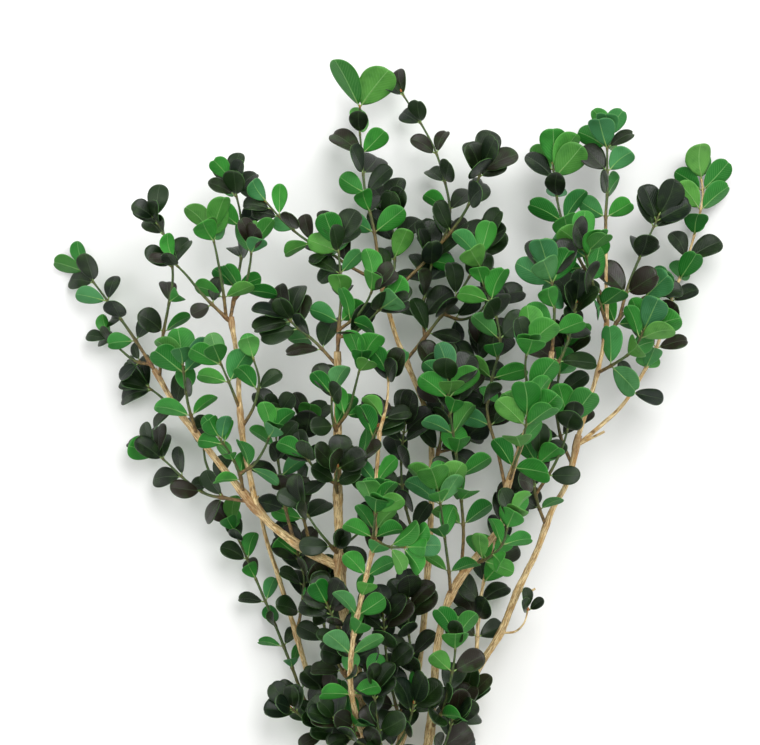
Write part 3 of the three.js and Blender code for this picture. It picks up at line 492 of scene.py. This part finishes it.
class Shell:
    """The points and faces of one piece while it is being made, in millimetres."""

    def __init__(self, floor):
        self.floor = floor  # the height of the surface that the branch lies on
        self.points, self.places, self.tones, self.faces, self.slots = [], [], [], [], []

    def add(self, points, places, tones, faces, slot):
        start = len(self.points)
        self.points.extend(points)
        self.places.extend(places)
        self.tones.extend(tones if len(tones) == len(points) else [tones] * len(points))
        self.faces.extend([start + corner for corner in face] for face in faces)
        self.slots.extend([slot] * len(faces) if isinstance(slot, int) else slot)


def grid_faces(rows, columns, closed):
    """Quads between rows of points; a closed grid joins its last column to its first."""
    faces = []
    for row in range(rows - 1):
        for column in range(columns if closed else columns - 1):
            beside = (column + 1) % columns
            faces.append((row * columns + column, row * columns + beside,
                          (row + 1) * columns + beside, (row + 1) * columns + column))
    return faces


# A leaf's blade is a round grid: BLADE_ROWS run along it, and BLADE_COLUMNS across it, closer at the midrib.
BLADE_ROWS = np.linspace(-1, 1, 11)
BLADE_COLUMNS = np.array((-1, -0.84, -0.62, -0.38, -0.15, 0, 0.15, 0.38, 0.62, 0.84, 1))
BASE_TAPER = 0.22  # 0 is an oval blade, and larger narrows it towards the stalk
WIDEST = 0.876  # makes the widest place of the tapered oval 1
BLADE_WIDTH = 0.75  # of its length
BLADE_THICK = 0.36
FLOOR_GAP = 0.05  # between the floor and what lies on it
BLADE_ARCH = 1.1  # how far the middle of a blade rises over its foot and tip
STALK_THICK = 0.5
STALK_END = 0.62  # how far the midrib stands out under the blade, as a share of its length
STALK_SIDES = 5
STALK_RINGS = np.array((-0.11, -0.05, 0, 0.08, 0.2, 0.35, 0.5, STALK_END))  # places along the blade
STALK_RADII = STALK_THICK * np.array((1, 0.95, 0.9, 0.75, 0.6, 0.42, 0.28, 0.12))


def blade_sheet():
    """For each point of the grid, its place along the blade, from 0 to 1, across it, from -1 to 1, and how
    far it is inside the rim, from 0 to 1."""
    s, t = np.meshgrid(BLADE_ROWS, BLADE_COLUMNS, indexing="ij")
    u = (s * np.sqrt(1 - t * t / 2) + 1) / 2
    v = t * np.sqrt(1 - s * s / 2) * u ** BASE_TAPER / WIDEST
    inside = 1 - np.maximum(np.abs(s), np.abs(t))
    return u.ravel(), v.ravel(), inside.ravel()


def sheet_rim(rows, columns):
    """The points round the edge of the grid, in order."""
    near = list(range(columns))
    right = [row * columns + columns - 1 for row in range(1, rows)]
    far = [(rows - 1) * columns + column for column in range(columns - 2, -1, -1)]
    left = [row * columns for row in range(rows - 2, 0, -1)]
    return near + right + far + left


SHEET_U, SHEET_V, SHEET_INSIDE = blade_sheet()
SHEET_FACES = grid_faces(len(BLADE_ROWS), len(BLADE_COLUMNS), False)
SHEET_RIM = sheet_rim(len(BLADE_ROWS), len(BLADE_COLUMNS))


def leaf_form(leaf):
    """The bends of one leaf, drawn by its seed."""
    seed = leaf["seed"]
    return {
        "fold": 0.10 + 0.16 * share(seed, 11),  # how steeply the two halves rise from the midrib
        "cup": 0.9 * chance(seed, 12),  # how far the edges bend up again or down
        "arch": BLADE_ARCH * (0.6 + 0.8 * share(seed, 13)),
        "curl": 1.1 * chance(seed, 14),  # of the tip
        "wave": 0.35 * share(seed, 15),
        "phase": 6.3 * share(seed, 16),
        "notch": 0.07 * max(0, chance(seed, 17)),
        "width": BLADE_WIDTH * (1 + 0.12 * chance(seed, 18)),
        "blunt": 0.15 + 0.15 * chance(seed, 20),  # how broad the tip is
        "sway": 0.05 * chance(seed, 19),
    }


def leaf_lift(form, u, v, half):
    """How far a place of the blade rises above the straight line from foot to tip."""
    fold = form["fold"] * half * (np.sqrt(v * v + 0.01) - 0.1)
    cup = form["cup"] * v * v
    arch = form["arch"] * np.sin(math.pi * np.clip(u, 0, 1))
    curl = form["curl"] * np.clip(u - 0.55, 0, 1) ** 2 * 4 * (1 - u * 0.5)
    wave = form["wave"] * np.sin(form["phase"] + 7 * u) * np.abs(v) * np.sign(v + 1e-9)
    return fold + cup + arch - curl + wave


def rest_on_floor(shell, leaf, upper, under):
    """Lays what would be below the floor flat on it, with the two sides of the blade still apart."""
    if leaf["face"][2] < 0:
        upper, under = under, upper
    under[:, 2] = np.maximum(under[:, 2], shell.floor + FLOOR_GAP)
    upper[:, 2] = np.maximum(upper[:, 2], shell.floor + FLOOR_GAP + BLADE_THICK)


def add_leaf(shell, leaf, greyer=False):
    form = leaf_form(leaf)
    length = leaf["length"]
    half = form["width"] * length / 2
    side = np.cross(leaf["face"], leaf["along"])
    tone = [share(leaf["seed"], 31 + i) for i in range(3)]
    if greyer:
        tone[2] = 0.6 + 0.4 * tone[2]

    def at(u, v, lift):
        reach = LEAF_STALK + u * length
        across = v * half + form["sway"] * length * np.sin(math.pi * np.clip(u, 0, 1))
        return (leaf["foot"] + np.outer(reach, leaf["along"]) + np.outer(across, side)
                + np.outer(lift, leaf["face"]))

    notch = form["notch"] * np.exp(-(SHEET_V / 0.2) ** 2) * np.clip(SHEET_U * 4 - 3, 0, 1)
    u = SHEET_U + form["blunt"] * SHEET_U * (1 - SHEET_U) - notch
    lift = leaf_lift(form, SHEET_U, SHEET_V, half)
    thick = np.full(len(u), BLADE_THICK / 2)
    thick[SHEET_RIM] = BLADE_THICK / 6
    places = list(zip(SHEET_U, SHEET_V, SHEET_INSIDE))
    count = len(u)
    top = [tuple(reversed(face)) for face in SHEET_FACES]
    bottom = [tuple(corner + count for corner in face) for face in SHEET_FACES]
    ring = list(zip(SHEET_RIM, SHEET_RIM[1:] + SHEET_RIM[:1]))
    rim = [(a, b, b + count, a + count) for a, b in ring]
    faces = top + bottom + rim
    slots = [UPPER] * len(top) + [UNDER] * (len(bottom) + len(rim))
    upper, under = at(u, SHEET_V, lift + thick), at(u, SHEET_V, lift - thick)
    rest_on_floor(shell, leaf, upper, under)
    shell.add(np.concatenate((upper, under)), places * 2, tone, faces, slots)
    add_leaf_stalk(shell, form, at, half, tone)


def add_leaf_stalk(shell, form, at, half, tone):
    """The stalk, which runs on under the blade as a midrib that stands out and thins away."""
    reach = STALK_RINGS
    zero = np.zeros(len(reach))
    lift = leaf_lift(form, np.clip(reach, 0, 1), zero, half) - BLADE_THICK * 0.5
    lift[:3] = lift[:3] * 0.5 + BLADE_THICK * 0.2
    radius = STALK_RADII
    points, places = [], []
    for i, u in enumerate(reach):
        for j in range(STALK_SIDES):
            angle = 2 * math.pi * j / STALK_SIDES
            across = np.array([math.cos(angle) * radius[i] / half])
            rise = np.array([lift[i] + math.sin(angle) * radius[i] * 0.6])
            points.append(at(np.array([u]), across, rise)[0])
            places.append((u, math.cos(angle) * 0.1, 0))
    faces = grid_faces(len(reach), STALK_SIDES, True)
    faces += [tuple(range(STALK_SIDES))[::-1],
              tuple((len(reach) - 1) * STALK_SIDES + j for j in range(STALK_SIDES))]
    shell.add(points, places, tone, faces, STALK)


RING_STEP = 1.5  # between the rings of a leafy twig, and of a stem
STEM_RING_STEP = 1.3
TWIG_SIDES = 8
STEM_SIDES = 22
NODE_SWELL = 0.32  # how much thicker a leafy twig is where leaves grow, and over what length
NODE_LENGTH = 1.1
JOINT_SWELL = 0.42  # the same where a twig leaves a stem
JOINT_LENGTH = 5.5
BARK_RELIEF = 0.13  # how deep the ridges of the bark are, as a share of the radius


def line_of(twig, step):
    """Places on a twig's middle line about one step apart: how far along from 0 to 1, and in millimetres."""
    fine = [point_on(twig, i / LINE_STEPS) for i in range(LINE_STEPS + 1)]
    lengths = [0.0]
    for a, b in zip(fine, fine[1:]):
        lengths.append(lengths[-1] + float(np.linalg.norm(b - a)))
    count = max(4, round(lengths[-1] / step))
    wanted = np.linspace(0, lengths[-1], count + 1)
    places = np.interp(wanted, lengths, np.linspace(0, 1, LINE_STEPS + 1))
    return list(zip(places, wanted))


def length_at(line, t):
    return float(np.interp(t, [a for a, _ in line], [b for _, b in line]))


def children_of(name):
    return [made for made in PIECES.values() if made["parent"] == name]


def knots_on(made, part, line):
    """Where a twig swells: the distance along it, how much, and over what length."""
    stem = part["thick"] > WOODY
    knots = []
    if part["pairs"] or part["tuft"]:
        for site in leaf_sites(part):
            knots.append((length_at(line, site["t"]), NODE_SWELL * (0.4 if stem else 0.5), NODE_LENGTH))
    if part is made["twigs"][0]:
        grown = [child["twigs"][0] for child in children_of(made["name"])] + made["twigs"][1:]
        for twig in grown:
            gaps = [np.linalg.norm(point_on(part, t) - twig["path"][0]) for t, _ in line]
            size = min(1, twig["thick"] / part["thick"] + 0.25)
            reach = JOINT_LENGTH * min(1, part["thick"] / 2)
            knots.append((line[int(np.argmin(gaps))][1], JOINT_SWELL * size, reach))
    return knots


def bark_relief(s, angle, seed):
    """The ridges along a stem and its lumps, as a share of its radius."""
    around = Vector((math.cos(angle), math.sin(angle), 0)) * 1.6
    ridges = noise.noise(Vector((s * 0.05, seed * 7.3, 0)) + Vector((0, around.x, around.y)) * 1.9)
    lumps = noise.noise(Vector((s * 0.16, around.x * 0.7 + seed * 3.1, around.y * 0.7)))
    fine = noise.noise(Vector((s * 0.5, around.x * 3 + seed, around.y * 3)))
    return BARK_RELIEF * (1.1 * ridges + 0.9 * lumps + 0.7 * fine)


def add_twig(shell, made, part, slot):
    """A twig as a round rod with swollen joints; a stem has ridged bark too."""
    stem = part["thick"] > WOODY
    sides = STEM_SIDES if stem else TWIG_SIDES
    line = line_of(part, STEM_RING_STEP if stem else RING_STEP)
    knots = knots_on(made, part, line)
    seed = part["seed"]
    points, places, tones = [], [], []
    for t, s in line:
        _, across, up = directions_at(part, t)
        radius = part["thick"] + (part["thin"] - part["thick"]) * t
        swell = sum(more * math.exp(-((s - at) / reach) ** 2) for at, more, reach in knots)
        radius *= 1 + min(swell, 0.6)
        middle = point_on(part, t)
        for j in range(sides):
            angle = 2 * math.pi * j / sides
            relief = bark_relief(s, angle, seed) if stem else 0.08 * noise.noise(
                Vector((s * 0.5, math.cos(angle) + seed, math.sin(angle))))
            out = radius * (1 + relief)
            sideways, rise = math.cos(angle) * out, math.sin(angle) * out
            points.append(middle + across * sideways + up * rise)
            places.append((s * MM, sideways * MM, rise * MM))
            tones.append((share(seed, 901), t, min(1, swell * 2)))
    faces = grid_faces(len(line), sides, True)
    shell.add(points, places, tones, [face[::-1] for face in faces], slot)
    add_end(shell, points[:sides], -directions_at(part, 0)[0], part["thick"], made)
    add_end(shell, points[-sides:], directions_at(part, 1)[0], part["thin"], made)


def add_end(shell, ring, outward, radius, made):
    """The end of a twig: a rim that draws in, and a face of cut wood."""
    sides = len(ring)
    middle = np.mean(ring, axis=0)
    points, places = [], []
    for kept, out in ((1, 0), (0.93, 0.09), (0.5, 0.12)):
        for point in ring:
            points.append(middle + (point - middle) * kept + outward * radius * out)
            places.append((kept, (point - middle)[0] * kept * MM, (point - middle)[2] * kept * MM))
    points.append(middle + outward * radius * 0.1)
    places.append((0, 0, 0))
    faces = grid_faces(3, sides, True)
    faces += [(2 * sides + j, 2 * sides + (j + 1) % sides, 3 * sides) for j in range(sides)]
    if np.dot(np.cross(ring[0] - middle, ring[1] - middle), outward) < 0:
        faces = [face[::-1] for face in faces]
    shell.add(points, places, (0.5, 0.5, 0.5), faces, CUT if is_stem(made) else BARK)


def is_stem(made):
    return made["twigs"][0]["thick"] > WOODY and not made["twigs"][0]["pairs"]


BUD_LENGTH = 2.6
BUD_THICK = 0.75
BUD_SUNK = 0.4  # how far a bud starts inside the twig
BUD_SIDES = 7
BUD_RINGS = ((0, 0.55), (0.2, 0.95), (0.45, 1), (0.7, 0.75), (0.88, 0.4), (1, 0.08))  # along, and radius


def add_bud(shell, part):
    """The bud at a leafy twig's end."""
    along, across, up = directions_at(part, 1)
    size = 0.8 + 0.4 * share(part["seed"], 951)
    start = point_on(part, 1) - along * BUD_SUNK
    sides = BUD_SIDES
    points, places = [], []
    for place, width in BUD_RINGS:
        for j in range(sides):
            angle = 2 * math.pi * j / sides
            out = (across * math.cos(angle) + up * math.sin(angle)) * BUD_THICK * width * size
            points.append(start + along * BUD_LENGTH * size * place + out)
            places.append((place, math.cos(angle) * MM, math.sin(angle) * MM))
    faces = [face[::-1] for face in grid_faces(len(BUD_RINGS), sides, True)]
    faces += [tuple(range(sides)), tuple(len(points) - sides + j for j in range(sides))[::-1]]
    shell.add(points, places, (share(part["seed"], 952), 0.5, 0.5), faces, BUD)


# ---- Materials ----
def colour(text):
    """A colour such as "9a7a45" as the linear numbers that a shader takes."""
    parts = [int(text[i:i + 2], 16) / 255 for i in (0, 2, 4)]
    return (*[p / 12.92 if p < 0.04045 else ((p + 0.055) / 1.055) ** 2.4 for p in parts], 1)


class Paint:
    """A material while its nodes are being made. A node's input is a number or another node's output."""

    def __init__(self, name):
        self.material = bpy.data.materials.new(name)
        self.material.use_nodes = True
        self.nodes = self.material.node_tree.nodes
        self.links = self.material.node_tree.links
        self.shader = self.nodes["Principled BSDF"]

    def add(self, kind, inputs, out=0, **settings):
        node = self.nodes.new(kind)
        for key, value in settings.items():
            setattr(node, key, value)
        for key, value in inputs.items():
            self.put(node, key, value)
        return node.outputs[out]

    def put(self, node, key, value):
        if isinstance(value, bpy.types.NodeSocket):
            self.links.new(value, node.inputs[key])
        else:
            node.inputs[key].default_value = value

    def vector(self, name):
        """The numbers that each point carries under a name, one output each."""
        whole = self.add("ShaderNodeAttribute", {}, "Vector", attribute_name=name)
        split = self.nodes.new("ShaderNodeSeparateXYZ")
        self.put(split, 0, whole)
        return split.outputs

    def math(self, operation, a, b=0.0, c=0.0):
        return self.add("ShaderNodeMath", {0: a, 1: b, 2: c}, operation=operation)

    def smooth(self, value, low, high):
        """0 up to low, 1 from high, and smooth between them."""
        inputs = {"Value": value, "From Min": low, "From Max": high}
        return self.add("ShaderNodeMapRange", inputs, interpolation_type="SMOOTHSTEP")

    def mix(self, part, a, b):
        a, b = (colour(value) if isinstance(value, str) else value for value in (a, b))
        return self.add("ShaderNodeMix", {0: part, 6: a, 7: b}, 2, data_type="RGBA")

    def join(self, x, y, z):
        return self.add("ShaderNodeCombineXYZ", {0: x, 1: y, 2: z})

    def noise(self, scale, detail=3.0, at=None, roughness=0.55):
        """Smooth noise about 0.5, by the place in the model or a vector, with `scale` lumps a metre."""
        if at is None:
            at = self.add("ShaderNodeTexCoord", {}, "Object")
        inputs = {"Vector": at, "Scale": scale, "Detail": detail, "Roughness": roughness}
        return self.add("ShaderNodeTexNoise", inputs, "Fac")

    def bump(self, height, strength, distance):
        inputs = {"Height": height, "Strength": strength, "Distance": distance}
        self.put(self.shader, "Normal", self.add("ShaderNodeBump", inputs))

    def finish(self, base, roughness, others=None):
        self.put(self.shader, "Base Color", base)
        self.put(self.shader, "Roughness", roughness)
        for key, value in (others or {}).items():
            self.put(self.shader, key, value)
        return self.material


SIDE_VEINS = 12.0  # along each half of a blade


def vein_masks(paint, along, across):
    """Where a blade's midrib is, and where its side veins are, from 0 to 1."""
    off = paint.math("ABSOLUTE", across)
    width = paint.math("MULTIPLY_ADD", along, -0.05, 0.075)
    midrib = paint.math("SUBTRACT", 1.0, paint.smooth(paint.math("DIVIDE", off, width), 0.35, 1.0))
    bent = paint.math("MULTIPLY_ADD", off, -0.38, along)
    uneven = paint.math("MULTIPLY", paint.noise(260.0, 1.0), 0.06)
    turns = paint.math("MULTIPLY", paint.math("ADD", bent, uneven), SIDE_VEINS)
    line = paint.math("ABSOLUTE", paint.math("SUBTRACT", paint.math("FRACT", turns), 0.5))
    veins = paint.math("SUBTRACT", 1.0, paint.smooth(line, 0.02, 0.17))
    fade = paint.math("SUBTRACT", 1.0, paint.smooth(off, 0.45, 1.0))
    return midrib, paint.math("MULTIPLY", veins, fade)


def leaf_upper():
    """The glossy, nearly black green upper side."""
    paint = Paint("leaf_upper")
    along, across, inside = paint.vector("place")
    hue, light, age = paint.vector("tone")
    midrib, veins = vein_masks(paint, along, across)
    base = paint.mix(light, "081204", "162d0e")
    base = paint.mix(paint.smooth(hue, 0.55, 1.0), base, "0d1b11")
    base = paint.mix(paint.smooth(age, 0.7, 0.95), base, "211a12")
    base = paint.mix(paint.smooth(paint.noise(140.0), 0.45, 0.8), base, "263d18")
    base = paint.mix(paint.math("MULTIPLY", veins, 0.07), base, "4a6a3a")
    base = paint.mix(paint.math("MULTIPLY", midrib, 0.3), base, "4d6340")
    edge = paint.math("SUBTRACT", 1.0, paint.smooth(inside, 0.0, 0.07))
    base = paint.mix(paint.math("MULTIPLY", edge, 0.3), base, "46562f")
    relief = paint.math("SUBTRACT", paint.noise(1100.0, 2.0), paint.math("MULTIPLY", veins, 0.5))
    relief = paint.math("SUBTRACT", relief, paint.math("MULTIPLY", midrib, 1.3))
    paint.bump(relief, 0.5, 0.00022)
    roughness = paint.math("MULTIPLY_ADD", paint.noise(420.0), 0.28, 0.2)
    return paint.finish(base, roughness, {"Specular IOR Level": 0.33})


def leaf_under():
    """The matt, bright green underside with its pale veins."""
    paint = Paint("leaf_under")
    along, across, inside = paint.vector("place")
    hue, light, age = paint.vector("tone")
    midrib, veins = vein_masks(paint, along, across)
    base = paint.mix(light, "03600f", "358f2c")
    base = paint.mix(paint.math("MULTIPLY", paint.smooth(hue, 0.6, 1.0), 0.45), base, "79b552")
    base = paint.mix(paint.math("MULTIPLY", paint.smooth(age, 0.75, 0.95), 0.55), base, "457d5b")
    base = paint.mix(paint.math("MULTIPLY", paint.smooth(paint.noise(150.0), 0.4, 0.8), 0.5), base, "115a14")
    base = paint.mix(paint.math("MULTIPLY", veins, 0.12), base, "8cc777")
    base = paint.mix(paint.math("MULTIPLY", midrib, 0.45), base, "93c47a")
    edge = paint.math("SUBTRACT", 1.0, paint.smooth(inside, 0.0, 0.06))
    base = paint.mix(paint.math("MULTIPLY", edge, 0.35), base, "7dbb5e")
    relief = paint.math("MULTIPLY_ADD", veins, 0.5, paint.noise(900.0, 2.0))
    paint.bump(paint.math("MULTIPLY_ADD", midrib, 1.0, relief), 0.45, 0.0002)
    roughness = paint.math("MULTIPLY_ADD", paint.noise(380.0), 0.2, 0.45)
    return paint.finish(base, roughness, {"Specular IOR Level": 0.35})


def leaf_stalk():
    paint = Paint("leaf_stalk")
    along, _, _ = paint.vector("place")
    _, light, _ = paint.vector("tone")
    base = paint.mix(light, "5f8434", "92b86c")
    base = paint.mix(paint.smooth(along, 0.02, 0.3), base, "559a42")
    base = paint.mix(paint.math("SUBTRACT", 1.0, paint.smooth(along, -0.12, 0.02)), base, "7a5a2c")
    base = paint.mix(paint.smooth(paint.noise(700.0), 0.4, 0.8), base, "8aa75a")
    paint.bump(paint.noise(1500.0), 0.2, 0.0001)
    return paint.finish(base, paint.math("MULTIPLY_ADD", paint.noise(600.0), 0.2, 0.42))


def bark():
    """Golden straw bark of the stems, ridged and cracked along, red-brown at the joints, with painted
    highlights on the ridge tops and painted shade in the grooves and cracks over the grain's own colour.
    """
    paint = Paint("bark")
    far, sideways, rise = paint.vector("place")
    _, _, joint = paint.vector("tone")
    grain = paint.join(paint.math("MULTIPLY", far, 0.12), sideways, rise)
    lumps = paint.join(paint.math("MULTIPLY", far, 0.5), sideways, rise)
    ridges = paint.noise(1500.0, 4.0, grain, 0.65)
    # Lighter on the ridge tops and darker in the grooves of the bump: partly the straw grain, partly a
    # painted highlight on the ridges and painted shade in the grooves.
    base = paint.mix(paint.smooth(ridges, 0.33, 0.62), "8f6a38", "f0d8a2")
    base = paint.mix(paint.smooth(paint.noise(420.0, 3.0, lumps), 0.5, 0.72), base, "c39b5c")
    base = paint.mix(paint.smooth(paint.noise(260.0, 2.0, lumps), 0.6, 0.8), base, "7f5d30")
    cracks_and_painted_shade = paint.smooth(paint.noise(2400.0, 3.0, grain, 0.6), 0.57, 0.69)
    # The cracks are painted dark: partly the bark's own dark fissures, partly painted shade in them.
    base = paint.mix(paint.math("MULTIPLY", cracks_and_painted_shade, 0.8), base, "4a3218")
    base = paint.mix(paint.math("MULTIPLY", paint.smooth(joint, 0.2, 0.9), 0.55), base, "7c4f28")
    relief = paint.math("SUBTRACT", ridges, paint.math("MULTIPLY", cracks_and_painted_shade, 0.35))
    paint.bump(relief, 0.85, 0.0008)
    return paint.finish(base, paint.math("MULTIPLY_ADD", ridges, 0.25, 0.6))


def twig_bark():
    """Bark of the leafy twigs: brown where they leave the stem, green towards the end."""
    paint = Paint("twig_bark")
    far, sideways, rise = paint.vector("place")
    _, along, joint = paint.vector("tone")
    grain = paint.join(paint.math("MULTIPLY", far, 0.2), sideways, rise)
    streaks = paint.noise(2200.0, 3.0, grain)
    brown = paint.mix(paint.smooth(streaks, 0.35, 0.65), "46361e", "8f7140")
    green = paint.mix(paint.smooth(streaks, 0.35, 0.65), "263816", "4f6630")
    base = paint.mix(paint.smooth(along, 0.05, 0.45), brown, green)
    base = paint.mix(paint.math("MULTIPLY", joint, 0.35), base, "7a4526")
    paint.bump(streaks, 0.5, 0.0003)
    return paint.finish(base, paint.math("MULTIPLY_ADD", streaks, 0.25, 0.5))


def cut_wood():
    """The pale face of a cut stem, with its rings and pith."""
    paint = Paint("cut_wood")
    out, _, _ = paint.vector("place")
    wobble = paint.math("MULTIPLY_ADD", paint.noise(500.0), 0.25, out)
    rings = paint.math("ABSOLUTE", paint.math("SINE", paint.math("MULTIPLY", wobble, 15.0)))
    base = paint.mix(paint.smooth(rings, 0.1, 0.9), "b58d55", "dcc391")
    base = paint.mix(paint.math("SUBTRACT", 1.0, paint.smooth(out, 0.05, 0.14)), base, "8a6436")
    base = paint.mix(paint.smooth(out, 0.86, 0.96), base, "7a5c36")
    paint.bump(paint.noise(2500.0), 0.4, 0.0002)
    return paint.finish(base, paint.math("MULTIPLY_ADD", rings, 0.1, 0.7))


def bud():
    paint = Paint("bud")
    along, _, _ = paint.vector("place")
    hue, _, _ = paint.vector("tone")
    scales = paint.math("ABSOLUTE", paint.math("SINE", paint.math("MULTIPLY", along, 9.0)))
    base = paint.mix(paint.smooth(scales, 0.1, 0.8), "6b2f17", "b4622f")
    base = paint.mix(paint.smooth(along, 0.6, 1.0), base, "d09a55")
    base = paint.mix(paint.math("MULTIPLY", hue, 0.4), base, "8d8a3a")
    paint.bump(scales, 0.4, 0.0002)
    return paint.finish(base, paint.math("MULTIPLY_ADD", paint.noise(900.0), 0.2, 0.4))


# ---- The pieces ----
def add_vectors(mesh, name, values):
    made = mesh.attributes.new(name, "FLOAT_VECTOR", "POINT")
    made.data.foreach_set("vector", np.array(values, np.float32).ravel())


def to_object(shell, name, shift, materials):
    """The finished piece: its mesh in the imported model's frame, with its materials."""
    points = (np.array(shell.points) + shift) * MM
    points[:, 2] = np.maximum(points[:, 2], FLOOR_GAP * MM)
    mesh = bpy.data.meshes.new(name)
    mesh.from_pydata(points.tolist(), [], shell.faces)
    mesh.polygons.foreach_set("material_index", shell.slots)
    mesh.polygons.foreach_set("use_smooth", [True] * len(mesh.polygons))
    add_vectors(mesh, "place", shell.places)
    add_vectors(mesh, "tone", shell.tones)
    for material in materials:
        mesh.materials.append(material)
    mesh.update()
    made = bpy.data.objects.new(name, mesh)
    bpy.context.scene.collection.objects.link(made)
    return made


GREYER_SHOOTS = ("right_top_shoot", "right_back_shoot")


def build_piece(made, node, shift, materials):
    """One stem or shoot: its twigs, its leaves and its buds, in place of the model's node."""
    shell = Shell(-shift[2])
    stem = is_stem(made)
    for part in made["twigs"]:
        add_twig(shell, made, part, BARK)
        if part["tuft"]:
            add_bud(shell, part)
    for leaf in leaves_of(made, model_points(node, shift)):
        add_leaf(shell, leaf, made["name"] in GREYER_SHOOTS)
    woody = stem or made["twigs"][0]["thick"] > WOODY
    used = list(materials)
    used[BARK] = materials[BARK] if woody else materials[-1]
    obj = to_object(shell, made["name"] + ("_bark" if stem else "_leaves"), shift, used[:-1])
    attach(obj, "root")
    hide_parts(made["name"])


# ---- The stage ----
FLOOR_SIDE = 6.0
CAMERA_HEIGHT = 2.6  # metres above the floor
VIEW_WIDTH = 0.418  # metres of the branch that the picture takes in from left to right
VIEW_LEVEL = 0.050  # the height at which it does
VIEW_CENTRE = (-2.75, 306.6, 0)  # of the picture, in the frame that the branch grows in
SENSOR = 36.0


def floor_material():
    paint = Paint("pale_floor")
    base = paint.mix(paint.noise(3.0), "f8f8f7", "f4f4f3")
    return paint.finish(base, 0.9)


def add_floor():
    half = FLOOR_SIDE / 2
    corners = [(-half, -half, 0), (half, -half, 0), (half, half, 0), (-half, half, 0)]
    mesh = bpy.data.meshes.new("floor")
    mesh.from_pydata(corners, [], [(0, 1, 2, 3)])
    mesh.materials.append(floor_material())
    floor = bpy.data.objects.new("floor", mesh)
    bpy.context.scene.collection.objects.link(floor)


def add_camera(shift):
    """Looks straight down on the crown of the branch from far above, framed as the photograph is."""
    data = bpy.data.cameras.new("camera")
    camera = bpy.data.objects.new("camera", data)
    centre = (np.array(VIEW_CENTRE) + shift) * MM
    camera.location = (centre[0], centre[1], CAMERA_HEIGHT)
    data.sensor_width = SENSOR
    data.lens = SENSOR * (CAMERA_HEIGHT - VIEW_LEVEL) / VIEW_WIDTH
    data.clip_end = 20
    bpy.context.scene.collection.objects.link(camera)
    bpy.context.scene.camera = camera


def add_light(name, place, side, power):
    """A square soft light that faces the middle of the branch."""
    data = bpy.data.lights.new(name, "AREA")
    data.shape = "SQUARE"
    data.size = side
    data.energy = power
    light = bpy.data.objects.new(name, data)
    light.location = place
    light.rotation_euler = (-Vector(place)).to_track_quat("-Z", "Y").to_euler()
    bpy.context.scene.collection.objects.link(light)


def add_lights():
    add_light("key", (0.6, 1.1, 1.7), 1.5, 34)
    add_light("fill", (-1.4, 0.3, 1.3), 1.4, 10)
    world = bpy.data.worlds.new("studio")
    world.use_nodes = True
    world.node_tree.nodes["Background"].inputs["Color"].default_value = (1, 1, 1, 1)
    world.node_tree.nodes["Background"].inputs["Strength"].default_value = 0.7
    bpy.context.scene.world = world
    bpy.context.scene.view_settings.view_transform = "Standard"


# ---- The model ----
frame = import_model()
prepare()
SHIFT = frame_shift(frame["nodes"]["main_stem"])
MATERIALS = [leaf_upper(), leaf_under(), leaf_stalk(), bark(), cut_wood(), bud(), twig_bark()]
for made in PIECES.values():
    build_piece(made, frame["nodes"][made["name"]], SHIFT, MATERIALS)
add_floor()
add_camera(SHIFT)
add_lights()
